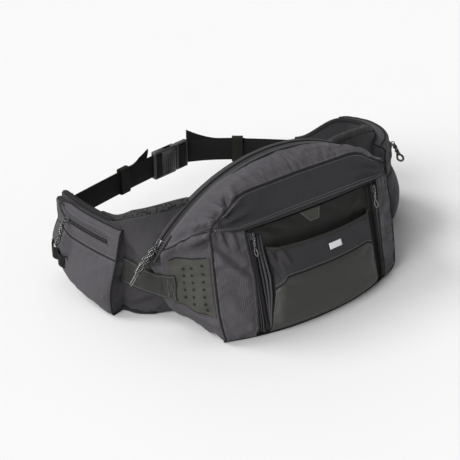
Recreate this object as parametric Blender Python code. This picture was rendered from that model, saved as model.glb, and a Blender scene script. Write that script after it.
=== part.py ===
"""Waist pack: a pouch with a hinged front panel, two padded wings with hip pockets, and a webbing
belt closed by a side-release buckle.

+Z is up, the pouch stands on Z = 0, its outward face looks to -Y, the wearer is on its +Y side, and
X = 0 is its middle. "Left" is -X. Sizes here are in millimetres, with Y = 0 at the pouch's back;
make_object() turns them into metres from FRAME_ORIGIN, the middle of the base.
"""

import math

import bmesh
import bpy
from mathutils import Matrix, Vector

MM = 0.001
FRAME_ORIGIN = Vector((0.0, -70.0, 0.0))
GAP = 0.4

# Pouch
BASE_HALF = 132.0
ARCH_RADIUS = 256.0
ARCH_TOP = 213.0
ARCH_CENTRE_Z = ARCH_TOP - ARCH_RADIUS
ARCH_END = 54.0
ZIP_Y = -14.0
MIDDLE_Y = -45.0
BACK_Y = -4.0
WALL = 2.5
FRONT_TOP = 200.0
FRONT_HALF = 155.0
BULGE_Z = 18.0
FRONT_TOP_Y = -73.0
FRONT_BULGE_Y = -143.0
FRONT_BASE_Y = -136.0
FRONT_WRAP = 30.0
RECESS = 12.0
RIM_GAP = 1.6
SKIN = 2.2
CROWN_LIFT = 4.0
ZIP_WIDTH = 8.0

# Front panel
HEM_Z = 156.0
LINER_TOP = HEM_Z - 8.0
PANEL_LEFT = -93.0
PANEL_RIGHT = 120.0
PANEL_BASE = 9.0
TRACK_WIDTH = 6.5
STASH_TOP_LEFT = 118.0
STASH_TOP_RIGHT = 126.0
STASH_SEAM = 88.0
BINDING = 4.5

# Wings and hip pockets
WING_ROOT = (197.0, 10.0)
WING_HINGE = (195.0, 3.0)
WING_HALF_THICK = 4.5
WELT_Z = 84.0
POCKET_DEPTH = 34.0
POCKET_RISE = 38.0
LID_DEPTH = 24.0
ON_WING = WING_HALF_THICK + 1.3

# Belt
BELT_Z = 85.0
WEBBING = 38.0
WEBBING_THICK = 1.6
BUCKLE_CENTRE = (8.0, 255.0)
BUCKLE_YAW = 8.0
BUCKLE_WIDTH = 48.0
BUCKLE_THICK = 11.0
FEMALE_BACK = -36.0
FEMALE_MOUTH = 10.0
MALE_END = 36.0
CORD_RADIUS = 2.2
STATION = 10
BAND_THICK = 1.6

# Each side: the wing's heading at its root and the legs of its plan, each a length and a turn towards
# the wearer in degrees; how far its foot stands out; its height; the stations between which its pocket
# and its pocket's zip lie; how far along that zip the slider stands; and its strap's end.
SIDES = {
    "left": {
        "sign": -1,
        "heading": 104.0,
        "legs": ((34.0, 0.0), (140.0, 14.0), (40.0, 76.0)),
        "splay": 30.0,
        "high": 130.0,
        "pocket": (50.0, 190.0),
        "pocket_zip": (60.0, 170.0),
        "slider_at": 0.75,
        "strap_end_heading": BUCKLE_YAW + 2.0,
        "tail": 75.0,
        "tail_rise": 6.0,
    },
    "right": {
        "sign": 1,
        "heading": 32.0,
        "legs": ((46.0, 0.0), (84.0, 106.0), (74.0, 0.0)),
        "splay": 12.0,
        "high": 136.0,
        "pocket": (30.0, 170.0),
        "pocket_zip": (50.0, 130.0),
        "slider_at": 0.3,
        "strap_end_heading": 160.0,
        "tail": 95.0,
        "tail_rise": 16.0,
    },
}


# ---------------------------------------------------------------- helpers

def clear_scene():
    for obj in list(bpy.data.objects):
        bpy.data.objects.remove(obj, do_unlink=True)


def material(name, colour, roughness, metallic=0.0):
    """A Principled material, made once for each name."""
    found = bpy.data.materials.get(name)
    if found:
        return found
    made = bpy.data.materials.new(name)
    made.use_nodes = True
    shader = made.node_tree.nodes["Principled BSDF"]
    shader.inputs["Base Color"].default_value = (*colour, 1.0)
    shader.inputs["Roughness"].default_value = roughness
    shader.inputs["Metallic"].default_value = metallic
    return made


def pack_fabric():
    return material("pack_fabric", (0.085, 0.080, 0.088), 0.75)


def coated_fabric():
    return material("coated_fabric", (0.050, 0.050, 0.043), 0.5)


def laminate():
    return material("laminate", (0.075, 0.075, 0.065), 0.6)


def elastic():
    return material("elastic", (0.055, 0.056, 0.050), 0.8)


def webbing():
    return material("webbing", (0.010, 0.010, 0.009), 0.7)


def spacer_mesh():
    return material("spacer_mesh", (0.030, 0.030, 0.032), 0.9)


def foam():
    return material("foam", (0.12, 0.12, 0.12), 0.9)


def zip_tape():
    return material("zip_tape", (0.015, 0.015, 0.015), 0.6)


def moulded():
    return material("moulded", (0.035, 0.035, 0.033), 0.45)


def slider_metal():
    return material("slider_metal", (0.12, 0.12, 0.12), 0.35, 0.9)


def cord():
    return material("cord", (0.05, 0.05, 0.05), 0.8)


def sheet_plastic():
    return material("sheet_plastic", (0.02, 0.02, 0.02), 0.4)


def reflective():
    return material("reflective", (0.7, 0.7, 0.7), 0.3)


def make_object(name, points, faces, look, pivot=None):
    """A mesh object from points in millimetres, its origin on its joint's axis where it has one."""
    pivot = Vector(pivot or FRAME_ORIGIN)
    mesh = bpy.data.meshes.new(name)
    mesh.from_pydata([(Vector(p) - pivot) * MM for p in points], [], faces)
    bm = bmesh.new()
    bm.from_mesh(mesh)
    bmesh.ops.recalc_face_normals(bm, faces=bm.faces)
    bm.to_mesh(mesh)
    bm.free()
    obj = bpy.data.objects.new(name, mesh)
    obj.location = (pivot - FRAME_ORIGIN) * MM
    obj.data.materials.append(look)
    bpy.context.scene.collection.objects.link(obj)
    return obj


def loft(name, rings, look, pivot=None):
    """A closed solid through rings of equally many points, capped at both ends."""
    count = len(rings[0])
    points = [p for ring in rings for p in ring]
    faces = [list(range(count)), list(range(len(points) - count, len(points)))]
    for r in range(len(rings) - 1):
        for i in range(count):
            j = (i + 1) % count
            faces.append([r * count + i, r * count + j, (r + 1) * count + j, (r + 1) * count + i])
    return make_object(name, points, faces, look, pivot)


def loop_loft(name, rings, look, pivot=None):
    """A closed tube through rings, the last joined to the first."""
    count = len(rings[0])
    points = [p for ring in rings for p in ring]
    faces = []
    for r in range(len(rings)):
        n = (r + 1) % len(rings)
        for i in range(count):
            j = (i + 1) % count
            faces.append([r * count + i, r * count + j, n * count + j, n * count + i])
    return make_object(name, points, faces, look, pivot)


def combine(target, helper, operation):
    """Joins a helper to an object, or takes it out, and hides it."""
    helper.hide_render = True
    helper.display_type = "WIRE"
    modifier = target.modifiers.new(helper.name, "BOOLEAN")
    modifier.operation = operation
    modifier.solver = "EXACT"
    modifier.object = helper


def cut(target, cutter):
    combine(target, cutter, "DIFFERENCE")


def round_edges(obj, width, segments=2):
    modifier = obj.modifiers.new("round", "BEVEL")
    modifier.width = width * MM
    modifier.segments = segments
    modifier.limit_method = "ANGLE"


def box_in(name, frame, low, high, look, pivot=None):
    """A box between two corners given in a local frame (a 4 x 4 matrix in millimetres)."""
    corners = [(low[0], low[1]), (high[0], low[1]), (high[0], high[1]), (low[0], high[1])]
    rings = [[tuple(frame @ Vector((x, y, z))) for x, y in corners] for z in (low[2], high[2])]
    return loft(name, rings, look, pivot)


def capsule_in(name, frame, length, radius, look, pivot, sides=8):
    """A round-ended cord along the local -Z axis, from the frame's origin down."""
    profile = ((0.0, 0.45), (0.08, 0.9), (0.2, 1.0), (0.8, 1.0), (0.92, 0.9), (1.0, 0.45))
    rings = []
    for along, width in profile:
        ring = []
        for i in range(sides):
            a = math.tau * i / sides
            point = Vector((radius * width * math.cos(a), radius * width * math.sin(a), -along * length))
            ring.append(tuple(frame @ point))
        rings.append(ring)
    return loft(name, rings, look, pivot)


def mix(a, b, t):
    return a + (b - a) * t


# ---------------------------------------------------------------- plan paths

class PlanPath:
    """A path in plan made of straight legs and arcs that follow each other without a kink."""

    def __init__(self, start, heading, legs, sign):
        self.sign = sign
        self.legs = []
        point = Vector(start)
        angle = math.radians(heading)
        for length, turn in legs:
            bend = math.radians(turn) * sign
            self.legs.append((point.copy(), angle, length, bend))
            point, angle = self.step(point, angle, length, bend, length)
        self.length = sum(leg[2] for leg in self.legs)

    @staticmethod
    def step(point, angle, length, bend, s):
        """The point and heading after s millimetres of a leg."""
        if abs(bend) < 1e-9:
            return point + Vector((math.cos(angle), math.sin(angle))) * s, angle
        radius = length / bend
        centre = point + Vector((-math.sin(angle), math.cos(angle))) * radius
        turned = angle + s / radius
        return centre - Vector((-math.sin(turned), math.cos(turned))) * radius, turned

    def at(self, s):
        """Point, heading and outward normal at s millimetres from the start."""
        for point, angle, length, bend in self.legs:
            if s <= length + 1e-6:
                break
            s -= length
        place, heading = self.step(point, angle, length, bend, s)
        outward = Vector((-math.sin(heading), math.cos(heading))) * -self.sign
        return place, heading, outward

    def arc_centre(self, index):
        point, angle, length, bend = self.legs[index]
        return point + Vector((-math.sin(angle), math.cos(angle))) * (length / bend)


class StrapPath:
    """A smooth plan curve from one point and heading to another."""

    def __init__(self, start, start_heading, end, end_heading, sign):
        self.start = Vector(start)
        self.end = Vector(end)
        self.sign = sign
        self.length = (self.end - self.start).length
        self.pull_a = Vector((math.cos(start_heading), math.sin(start_heading))) * self.length
        self.pull_b = Vector((math.cos(end_heading), math.sin(end_heading))) * self.length

    def place(self, t):
        return (
            self.start * (2 * t**3 - 3 * t**2 + 1)
            + self.pull_a * (t**3 - 2 * t**2 + t)
            + self.end * (3 * t**2 - 2 * t**3)
            + self.pull_b * (t**3 - t**2)
        )

    def at(self, s):
        t = s / self.length
        step = 1e-3
        along = self.place(t + step) - self.place(t - step)
        heading = math.atan2(along.y, along.x)
        outward = Vector((-math.sin(heading), math.cos(heading))) * -self.sign
        return self.place(t), heading, outward


def sweep(name, path, stations, section, look, pivot=None):
    """A solid along a plan path. section(s) lists (outward offset, height) corners."""
    rings = []
    for s in stations:
        place, _, outward = path.at(s)
        rings.append([(place.x + outward.x * o, place.y + outward.y * o, z) for o, z in section(s)])
    return loft(name, rings, look, pivot)


def spread(first, last, count):
    return [mix(first, last, i / (count - 1)) for i in range(count)]


def wing_stations(first, last):
    """Stations shared by all that lies on a wing, so that neighbours keep parallel facets."""
    inside = [s for s in range(0, 400, STATION) if first + 0.5 < s < last - 0.5]
    return [first] + inside + [last]


def path_frame(path, s, offset, z, lean=0.0):
    """A local frame on a path: X along it, Y outward, Z up, leaned outward by an angle."""
    place, heading, outward = path.at(s)
    along = Vector((math.cos(heading), math.sin(heading), 0.0))
    out = Vector((outward.x, outward.y, 0.0))
    up = Vector((0.0, 0.0, 1.0))
    out_leaned = out * math.cos(lean) + up * math.sin(lean)
    up_leaned = up * math.cos(lean) - out * math.sin(lean)
    origin = Vector((place.x, place.y, z)) + out * offset
    frame = Matrix((along, out_leaned, up_leaned)).transposed().to_4x4()
    frame.translation = origin
    return frame


# ---------------------------------------------------------------- pouch shell

def arch_point(degrees, radius=ARCH_RADIUS):
    a = math.radians(degrees)
    return (radius * math.sin(a), ARCH_CENTRE_Z + radius * math.cos(a))


def zip_outline():
    """Half of the pouch's outline at the main zip, from the middle of the base to the crown."""
    lower = [(0.0, 0.0), (BASE_HALF, 0.0), (168.0, 7.0), (189.0, 38.0), (201.0, 80.0)]
    return lower + [arch_point(a) for a in (ARCH_END, 44.0, 34.0, 23.0, 11.5, 0.0)]


def front_outline():
    """Half of the outline at the front seam, point for point with zip_outline()."""
    return [
        (0.0, 0.0), (138.0, 0.0), (154.0, 8.0), (160.0, 38.0), (160.0, 90.0), (158.0, 140.0),
        (FRONT_HALF, 168.0), (128.0, 185.0), (100.0, FRONT_TOP), (50.0, 202.0), (0.0, 203.0),
    ]


def front_y(x, z, inward=0.0):
    """The front surface: it leans forward down to the bulge, rolls under it, and wraps back at the sides."""
    upper = min(max((FRONT_TOP - z) / (FRONT_TOP - BULGE_Z), 0.0), 1.0)
    y = mix(FRONT_TOP_Y, FRONT_BULGE_Y, upper)
    if z < BULGE_Z:
        y = mix(FRONT_BULGE_Y, FRONT_BASE_Y, ((BULGE_Z - z) / BULGE_Z) ** 2)
    return y + FRONT_WRAP * upper * (abs(x) / FRONT_HALF) ** 2.2 + inward


def both_sides(half):
    """A closed ring from half an outline on +X."""
    return half + [(-x, z) for x, z in reversed(half[1:-1])]


def shrunk(half, by):
    """Half an outline drawn in towards its middle by a distance at the sides and ends."""
    high = half[-1][1]
    wide = max(x for x, _ in half)
    return [(x * (wide - by) / wide, by + z * (high - 2 * by) / high) for x, z in half]


def halved(half):
    """Half an outline with a point added in the middle of every step."""
    points = []
    for a, b in zip(half, half[1:]):
        points += [a, (mix(a[0], b[0], 0.5), mix(a[1], b[1], 0.5))]
    return points + [half[-1]]


def between(ring_a, ring_b):
    return [tuple(Vector(a).lerp(Vector(b), 0.5)) for a, b in zip(ring_a, ring_b)]


def shell_rings(inset, front_steps):
    """Rings of the pouch from its back to its front, each inside the outer skin by inset."""
    back = shrunk(zip_outline(), 5.0 + inset)
    at_zip = shrunk(zip_outline(), inset)
    at_front = shrunk(front_outline(), inset)
    middle = [(mix(a[0], b[0], 0.5) + 2.0, mix(a[1], b[1], 0.5)) for a, b in zip(at_zip, at_front)]
    middle[0], middle[-1] = (0.0, middle[0][1]), (0.0, middle[-1][1])
    middle = middle[:7] + [(x, z + CROWN_LIFT) for x, z in middle[7:]]
    flat = [(back, BACK_Y - inset), (at_zip, ZIP_Y - inset * 0.5), (middle, MIDDLE_Y)]
    rings = [[(x, y, z) for x, z in both_sides(halved(half))] for half, y in flat]
    for scale, inward in front_steps:
        ring = []
        for x, z in both_sides(halved(at_front)):
            px, pz = x * scale, 100.0 + (z - 100.0) * scale
            ring.append((px, front_y(px, pz, inward + inset), pz))
        rings.append(ring)
    to_middle = between(rings[1], rings[2])
    to_front = between(rings[2], rings[3])
    return rings[:2] + [to_middle, rings[2], to_front] + rings[3:]


def arc_band(name, low_radius, high_radius, y_low, y_high, first, last, steps, look, pivot=None):
    """A band along the main zip's arc; angles in degrees from the crown, positive to +X."""
    rings = []
    for i in range(steps + 1):
        degrees = mix(first, last, i / steps)
        (low_x, low_z), (high_x, high_z) = arch_point(degrees, low_radius), arch_point(degrees, high_radius)
        near = [(low_x, y_low, low_z), (high_x, y_low, high_z)]
        rings.append(near + [(high_x, y_high, high_z), (low_x, y_high, low_z)])
    return loft(name, rings, look, pivot)


def make_shell():
    rim = SKIN + RIM_GAP
    outer_steps = ((1.0, rim), (0.965, rim), (0.94, RECESS), (0.5, RECESS))
    shell = loft("main_shell", shell_rings(0.0, outer_steps), pack_fabric())
    inner_steps = ((0.93, RECESS), (0.5, RECESS))
    cut(shell, loft("main_cavity", shell_rings(WALL, inner_steps), pack_fabric()))
    half = ZIP_WIDTH / 2 + GAP
    cut(shell, arc_band(
        "zip_slot", ARCH_RADIUS - 14.0, ARCH_RADIUS + 14.0, ZIP_Y - half, ZIP_Y + half,
        -ARCH_END - 1.0, ARCH_END + 1.0, 24, pack_fabric(),
    ))
    return shell


def front_patch(name, left, right, low, high, inner, outer, columns, rows, look, pivot=None):
    """A slab that follows the front surface. left and right are functions of the height fraction,
    low and high of the width fraction; inner and outer are its depths behind the surface."""
    grids = []
    for depth in (outer, inner):
        grid = []
        for j in range(rows + 1):
            t = j / rows
            for i in range(columns + 1):
                s = i / columns
                x = mix(left(t), right(t), s)
                z = mix(low(s), high(s), t)
                grid.append((x, front_y(x, z, depth), z))
        grids.append(grid)
    wide = columns + 1
    size = wide * (rows + 1)
    faces = []
    for j in range(rows):
        for i in range(columns):
            a = j * wide + i
            faces.append([a, a + 1, a + wide + 1, a + wide])
            faces.append([size + a, size + a + wide, size + a + wide + 1, size + a + 1])
    rim = [i for i in range(columns)]
    rim += [columns + j * wide for j in range(rows)]
    rim += [rows * wide + i for i in range(columns, 0, -1)]
    rim += [j * wide for j in range(rows, 0, -1)]
    for k, a in enumerate(rim):
        b = rim[(k + 1) % len(rim)]
        faces.append([b, a, size + a, size + b])
    return make_object(name, grids[0] + grids[1], faces, look, pivot)


def level(value):
    return lambda _: value


def slope(first, last):
    return lambda t: mix(first, last, t)


def front_seam_height(x):
    """Height of the front seam above a point: level in the middle, chamfered at the corners."""
    return FRONT_TOP - max(abs(x) - 100.0, 0.0) * (FRONT_TOP - 168.0) / (FRONT_HALF - 100.0)


def make_front_top():
    half = FRONT_HALF - 3.0
    front_patch(
        "top_front_panel", level(-half), level(half), level(HEM_Z + GAP),
        lambda s: front_seam_height(mix(-half, half, s)) - 3.0, SKIN, 0.0, 12, 2, pack_fabric(),
    )


def make_gussets_and_tracks():
    edges = {"left": (-FRONT_HALF + 3.0, PANEL_LEFT - 1.0), "right": (FRONT_HALF - 3.0, PANEL_RIGHT + 1.0)}
    for side, (outside, inside) in edges.items():
        toward = 1.0 if side == "left" else -1.0
        track = inside - toward * TRACK_WIDTH
        ends = sorted((outside, track - toward * GAP))
        front_patch(
            f"ribbed_gusset_{side}", level(ends[0]), level(ends[1]), level(6.0), level(HEM_Z - GAP),
            SKIN, 0.0, 3, 10, pack_fabric(),
        )
        ends = sorted((track, inside))
        front_patch(
            f"front_zip_{side}", level(ends[0]), level(ends[1]), level(14.0), level(HEM_Z - GAP),
            SKIN, 0.4, 1, 10, zip_tape(),
        )


def side_patch(name, side, first_row, last_row, start, end, low_in, out, look):
    """A slab on the pouch's side between the zip ring and the front ring, on the shell's own facets."""
    rings = shell_rings(0.0, ((1.0, SKIN + RIM_GAP),))[1:]
    count = len(rings[0])
    index = {"right": lambda r: r, "left": lambda r: (count - r) % count}[side]

    def on_shell(t, r):
        k = min(int(t * 4), 3)
        f = t * 4 - k
        r0 = int(math.floor(r))
        g = r - r0
        a = Vector(rings[k][index(r0)]).lerp(Vector(rings[k][index(r0 + 1)]), g)
        b = Vector(rings[k + 1][index(r0)]).lerp(Vector(rings[k + 1][index(r0 + 1)]), g)
        return a.lerp(b, f)

    stations = [start] + [t for t in (0.25, 0.5, 0.75) if start < t < end] + [end]
    rows = [first_row] + list(range(math.ceil(first_row + 0.01), math.ceil(last_row - 0.01))) + [last_row]
    outward = Vector((1.0 if side == "right" else -1.0, -0.55, 0.0)).normalized()
    rings_out = []
    for t in stations:
        near = [on_shell(t, r) + outward * low_in for r in rows]
        far = [on_shell(t, r) + outward * out for r in reversed(rows)]
        rings_out.append([tuple(p) for p in near + far])
    return loft(name, rings_out, look)


def make_side_panels():
    for side in ("left", "right"):
        side_patch(f"perforated_panel_{side}", side, 4.7, 9.8, 0.34, 0.95, 1.8, 3.2, laminate())
        side_patch(f"band_end_{side}", side, 6.4, 8.5, 0.05, 0.42, 4.2, 5.8, elastic())


def arch_outline(half_width, low, top_drop):
    """A flat outline like the pouch's back, for the sheets and pads behind it."""
    side = [(half_width - 25.0, low), (half_width - 6.0, low + 8.0), (half_width, 60.0)]
    radius = ARCH_RADIUS - top_drop
    limit = math.degrees(math.asin(min(half_width / radius, 1.0)))
    arch = [arch_point(limit * f, radius) for f in (1.0, 0.8, 0.6, 0.4, 0.2)]
    half = side + arch
    return half + [(-x, z) for x, z in reversed(half)]


def plate(name, outline, y_front, y_back, look):
    return loft(name, [[(x, y, z) for x, z in outline] for y in (y_front, y_back)], look)


def make_back():
    plate("frame_sheet", arch_outline(150.0, 14.0, 34.0), BACK_Y + GAP, BACK_Y + 1.8, sheet_plastic())
    for side, sign in (("left", -1.0), ("right", 1.0)):
        half = [(14.0, 24.0), (120.0, 24.0), (140.0, 44.0), (140.0, 112.0), (112.0, 148.0), (14.0, 172.0)]
        plate(f"lumbar_pad_{side}", [(sign * x, z) for x, z in half], BACK_Y + 2.2, BACK_Y + 8.6, foam())
    mesh = plate("back_mesh", arch_outline(184.0, 4.0, 10.0), BACK_Y + 9.0, BACK_Y + 12.0, spacer_mesh())
    round_edges(mesh, 1.0, 1)


def make_inside():
    outline = [(-120.0, 14.0), (120.0, 14.0), (120.0, 118.0), (-120.0, 118.0)]
    plate("inner_organiser", outline, ZIP_Y - 12.0, ZIP_Y - 9.0, pack_fabric())


# ---------------------------------------------------------------- zips

def make_main_zip():
    half = ZIP_WIDTH / 2
    arc_band(
        "main_zip", ARCH_RADIUS - 3.0, ARCH_RADIUS - 0.4, ZIP_Y - half, ZIP_Y + half,
        -ARCH_END - 0.5, ARCH_END + 0.5, 36, zip_tape(),
    )
    centre = (0.0, ZIP_Y, ARCH_CENTRE_Z)
    sliders = (("main_slider_lower", -52.5, 3.2, 0.5), ("main_slider_upper", -48.6, -3.2, 3.0))
    for name, degrees, side_step, lift in sliders:
        slider = arc_band(
            name, ARCH_RADIUS + 1.2, ARCH_RADIUS + 6.0, ZIP_Y - 4.5, ZIP_Y + 4.5,
            degrees - 1.3, degrees + 1.3, 2, slider_metal(), centre,
        )
        round_edges(slider, 0.8, 1)
        x, z = arch_point(degrees - 1.7, ARCH_RADIUS + 5.0)
        tangent = Vector((math.cos(math.radians(degrees)), 0.0, -math.sin(math.radians(degrees))))
        outward = Vector((math.sin(math.radians(degrees)), 0.0, math.cos(math.radians(degrees))))
        frame = Matrix((outward.cross(tangent), outward, tangent)).transposed().to_4x4()
        frame.translation = Vector((x, ZIP_Y + side_step, z)) + outward * (CORD_RADIUS + lift)
        pull_name = name.replace("slider", "pull")
        capsule_in(pull_name, frame, 40.0, CORD_RADIUS, cord(), tuple(frame.translation))


def make_front_sliders():
    beside = 1.0 + TRACK_WIDTH / 2
    for side, x in (("left", PANEL_LEFT - beside), ("right", PANEL_RIGHT + beside)):
        low, high = HEM_Z - 18.0, HEM_Z - 9.0
        slider = front_patch(
            f"front_slider_{side}", level(x - 3.6), level(x + 3.6), level(low), level(high),
            -0.3, -4.3, 1, 1, slider_metal(),
        )
        round_edges(slider, 0.7, 1)
        top = low + 3.0
        front_patch(
            f"front_pull_{side}", level(x - 2.6), level(x + 2.6), level(top - 24.0), level(top),
            -5.0, -6.4, 1, 1, cord(), (x, front_y(x, top, -5.7), top),
        )


# ---------------------------------------------------------------- front panel

def make_front_panel():
    pivot = (0.0, FRONT_BASE_Y + 4.0, PANEL_BASE)
    left, right = PANEL_LEFT, PANEL_RIGHT
    front_patch(
        "front_liner", level(left), level(right), level(PANEL_BASE), level(LINER_TOP),
        7.0, 5.0, 10, 6, coated_fabric(), pivot,
    )
    front_patch(
        "laminated_tab", slope(4.0, -12.0), slope(20.0, 26.0), level(STASH_TOP_RIGHT + 6.0),
        level(LINER_TOP), 4.4, 3.4, 2, 1, laminate(), pivot,
    )
    stash_left, stash_right = left + 8.0, right - 6.0
    front_patch(
        "stash_lower_panel", level(stash_left), level(stash_right), level(PANEL_BASE + 2.0),
        level(STASH_SEAM), 0.4, -1.8, 8, 4, coated_fabric(), pivot,
    )
    front_patch(
        "stash_upper_band", level(stash_left), level(stash_right), level(STASH_SEAM + GAP),
        slope(STASH_TOP_LEFT, STASH_TOP_RIGHT), 0.4, -1.8, 8, 1, pack_fabric(), pivot,
    )
    front_patch(
        "stash_binding", level(stash_left), level(stash_right),
        slope(STASH_TOP_LEFT + GAP, STASH_TOP_RIGHT + GAP),
        slope(STASH_TOP_LEFT + BINDING, STASH_TOP_RIGHT + BINDING),
        1.2, -2.6, 8, 1, elastic(), pivot,
    )
    front_patch(
        "reflective_bar", level(16.0), level(40.0), level(102.0), level(110.0),
        -2.2, -3.0, 1, 1, reflective(), pivot,
    )


# ---------------------------------------------------------------- wings

def wing_splay(side, s, z):
    """How far the wing stands out below the welt, most at its foot and a little way from its root."""
    grown = min(s / 40.0, 1.0) * mix(1.0, 0.1, max((s - 60.0) / 150.0, 0.0))
    return side["splay"] * grown * max(1.0 - z / WELT_Z, 0.0)


def wing_hinge(side):
    return (side["sign"] * WING_HINGE[0], WING_HINGE[1], BELT_Z)


def wing_low(s, length):
    return 64.0 * max((s - length + 50.0) / 50.0, 0.0) ** 1.4


def wing_high(side, s, length):
    high = side["high"]
    return mix(high + 10.0, high, min(s / 30.0, 1.0)) + (106.0 - high) * max((s - length + 50.0) / 50.0, 0.0)


def pocket_section(side, s, f):
    """The hip pocket's outline at a station: its belly thins to the rear, its lid keeps one depth."""
    depth = POCKET_DEPTH * (1.0 - 0.2 * (1.0 - f) ** 3 - 0.6 * f**3)
    inner = ON_WING
    low = 0.6 + POCKET_RISE * f**2
    top = side["high"] - 2.0

    def clear(z):
        return inner + wing_splay(side, s, z)

    belly = mix(low, WELT_Z, 0.5)
    return [
        (clear(low), low),
        (clear(low) + depth * 0.62, low),
        (clear(low + 12.0) + depth * 0.85, low + 12.0),
        (clear(belly) + depth * 1.0, belly),
        (inner + LID_DEPTH, WELT_Z),
        (inner + 5.0, top),
        (inner, top),
        (clear(WELT_Z), WELT_Z),
        (clear(belly), belly),
        (clear(low + 12.0), low + 12.0),
    ]


def lid_point(side, s, f, t):
    """A point and outward lean on the pocket's sloping lid; t runs up from the welt to the top."""
    section = pocket_section(side, s, f)
    (low_o, low_z), (high_o, high_z) = section[4], section[5]
    lean = math.atan2(low_o - high_o, high_z - low_z)
    return mix(low_o, high_o, t), mix(low_z, high_z, t), lean


def make_wing(name, side):
    path = PlanPath((side["sign"] * WING_ROOT[0], WING_ROOT[1]), side["heading"], side["legs"], side["sign"])
    stations = wing_stations(0.0, path.length)
    pivot = wing_hinge(side)

    def section(s):
        low, high = wing_low(s, path.length), wing_high(side, s, path.length)
        heights = [low, WELT_Z, high]
        outer = [(wing_splay(side, s, z) + WING_HALF_THICK, z) for z in heights]
        inner = [(wing_splay(side, s, z) - WING_HALF_THICK, z) for z in reversed(heights)]
        return outer + inner

    sweep(f"wing_{name}", path, stations, section, pack_fabric(), pivot)
    return path


def make_hip_pocket(name, side, path):
    first, last = side["pocket"]
    stations = wing_stations(first, last)

    def fraction(s):
        return (s - first) / (last - first)

    sweep(
        f"hip_pocket_{name}", path, stations, lambda s: pocket_section(side, s, fraction(s)),
        pack_fabric(), wing_hinge(side),
    )
    zip_first, zip_last = side["pocket_zip"]

    def zip_section(s):
        o, z, lean = lid_point(side, s, fraction(s), 0.5)
        normal = Vector((math.cos(lean), math.sin(lean)))
        along = Vector((-math.sin(lean), math.cos(lean)))
        middle = Vector((o, z)) + normal * 1.9
        corners = ((-0.8, -3.2), (0.8, -3.2), (0.8, 3.2), (-0.8, 3.2))
        return [tuple(middle + normal * n + along * a) for n, a in corners]

    stations = wing_stations(zip_first, zip_last)
    sweep(f"hip_zip_{name}", path, stations, zip_section, zip_tape(), wing_hinge(side))
    place_s = mix(zip_first, zip_last, side["slider_at"])
    o, z, lean = lid_point(side, place_s, fraction(place_s), 0.5)
    frame = path_frame(path, place_s, o, z, lean)
    centre = path.arc_centre(1)
    slider = box_in(
        f"hip_slider_{name}", frame, (-5.5, 3.3, -4.0), (5.5, 7.1, 4.0), slider_metal(),
        (centre.x, centre.y, z),
    )
    round_edges(slider, 0.8, 1)
    pull_frame = path_frame(path, place_s, o + 12.5, z - 1.0, 0.42)
    capsule_in(f"hip_pull_{name}", pull_frame, 34.0, CORD_RADIUS, cord(), tuple(pull_frame.translation))


def make_gear_loop(side, path):
    """A strip of webbing sewn to the pocket's face in loops."""
    first, last = side["pocket"]
    stations = spread(last - 62.0, last - 12.0, 11)
    low, high = 40.0, 60.0

    def section(s):
        f = (s - first) / (last - first)
        face = pocket_section(side, s, f)[3][0]
        wave = abs(math.sin(math.pi * (s - stations[0]) / 25.0))
        near = face + 1.2 + 6.0 * wave
        return [(near, low), (near + 1.5, low), (near + 1.5, high), (near, high)]

    sweep("gear_loop_left", path, stations, section, webbing(), wing_hinge(side))


def make_compression_band(name, side, path):
    first, last = 0.0, side["pocket"][0] - GAP
    low, high = 46.0, 84.0

    def section(s):
        foot, head = wing_splay(side, s, low) + ON_WING, wing_splay(side, s, high) + ON_WING
        return [(foot, low), (foot + BAND_THICK, low), (head + BAND_THICK, high), (head, high)]

    sweep(f"compression_band_{name}", path, wing_stations(first, last), section, elastic(), wing_hinge(side))


# ---------------------------------------------------------------- belt

def buckle_frame():
    """X along the buckle from its socket half to its tongue half, Y outward, Z up."""
    frame = Matrix.Rotation(math.radians(BUCKLE_YAW), 4, "Z")
    frame.translation = Vector((BUCKLE_CENTRE[0], BUCKLE_CENTRE[1], BELT_Z))
    return frame


def webbing_section(offset, rise=0.0):
    low, high = BELT_Z + rise - WEBBING / 2, BELT_Z + rise + WEBBING / 2
    return [(offset, low), (offset + WEBBING_THICK, low), (offset + WEBBING_THICK, high), (offset, high)]


def make_strap(name, side, wing_path):
    start, heading, _ = wing_path.at(wing_path.length)
    along = Vector((math.cos(heading), math.sin(heading)))
    start = start + along * GAP
    frame = buckle_frame()
    end_x = (FEMALE_BACK - GAP) if name == "left" else (MALE_END + GAP)
    end = frame @ Vector((end_x, 0.0, 0.0))
    end_heading = math.radians(side["strap_end_heading"])
    path = StrapPath(start, heading, (end.x, end.y), end_heading, side["sign"])
    pivot = wing_hinge(side)
    sweep(
        f"belt_strap_{name}", path, spread(0.0, path.length, 13),
        lambda s: webbing_section(-WEBBING_THICK / 2), webbing(), pivot,
    )
    tail_first, tail_last = path.length - side["tail"], path.length - 2.0
    rise = side["tail_rise"]

    def tail_section(s):
        free = max((s - tail_first) / (tail_last - tail_first) - 0.42, 0.0) / 0.58
        return webbing_section(WEBBING_THICK / 2 + 0.8 + 7.0 * free**2, rise * free**1.5)

    sweep(f"strap_tail_{name}", path, spread(tail_first, tail_last, 9), tail_section, webbing(), pivot)
    make_keeper(name, path, tail_first + 12.0)
    return path


def make_keeper(name, path, s):
    """An elastic sleeve round the strap and its tail."""
    frame = path_frame(path, s, 0.0, BELT_Z)
    half = WEBBING / 2 + 1.2
    inner = ((-2.8, -half), (5.2, -half), (5.2, half), (-2.8, half))
    outer = [(x + (-1.2 if x < 0 else 1.2), z + (-1.2 if z < 0 else 1.2)) for x, z in inner]
    rings = []
    for corners, x in ((inner, -9.0), (outer, -9.0), (outer, 9.0), (inner, 9.0)):
        rings.append([tuple(frame @ Vector((x, y, z))) for y, z in corners])
    loop_loft(f"keeper_{name}", rings, elastic(), tuple(frame.translation))


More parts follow.
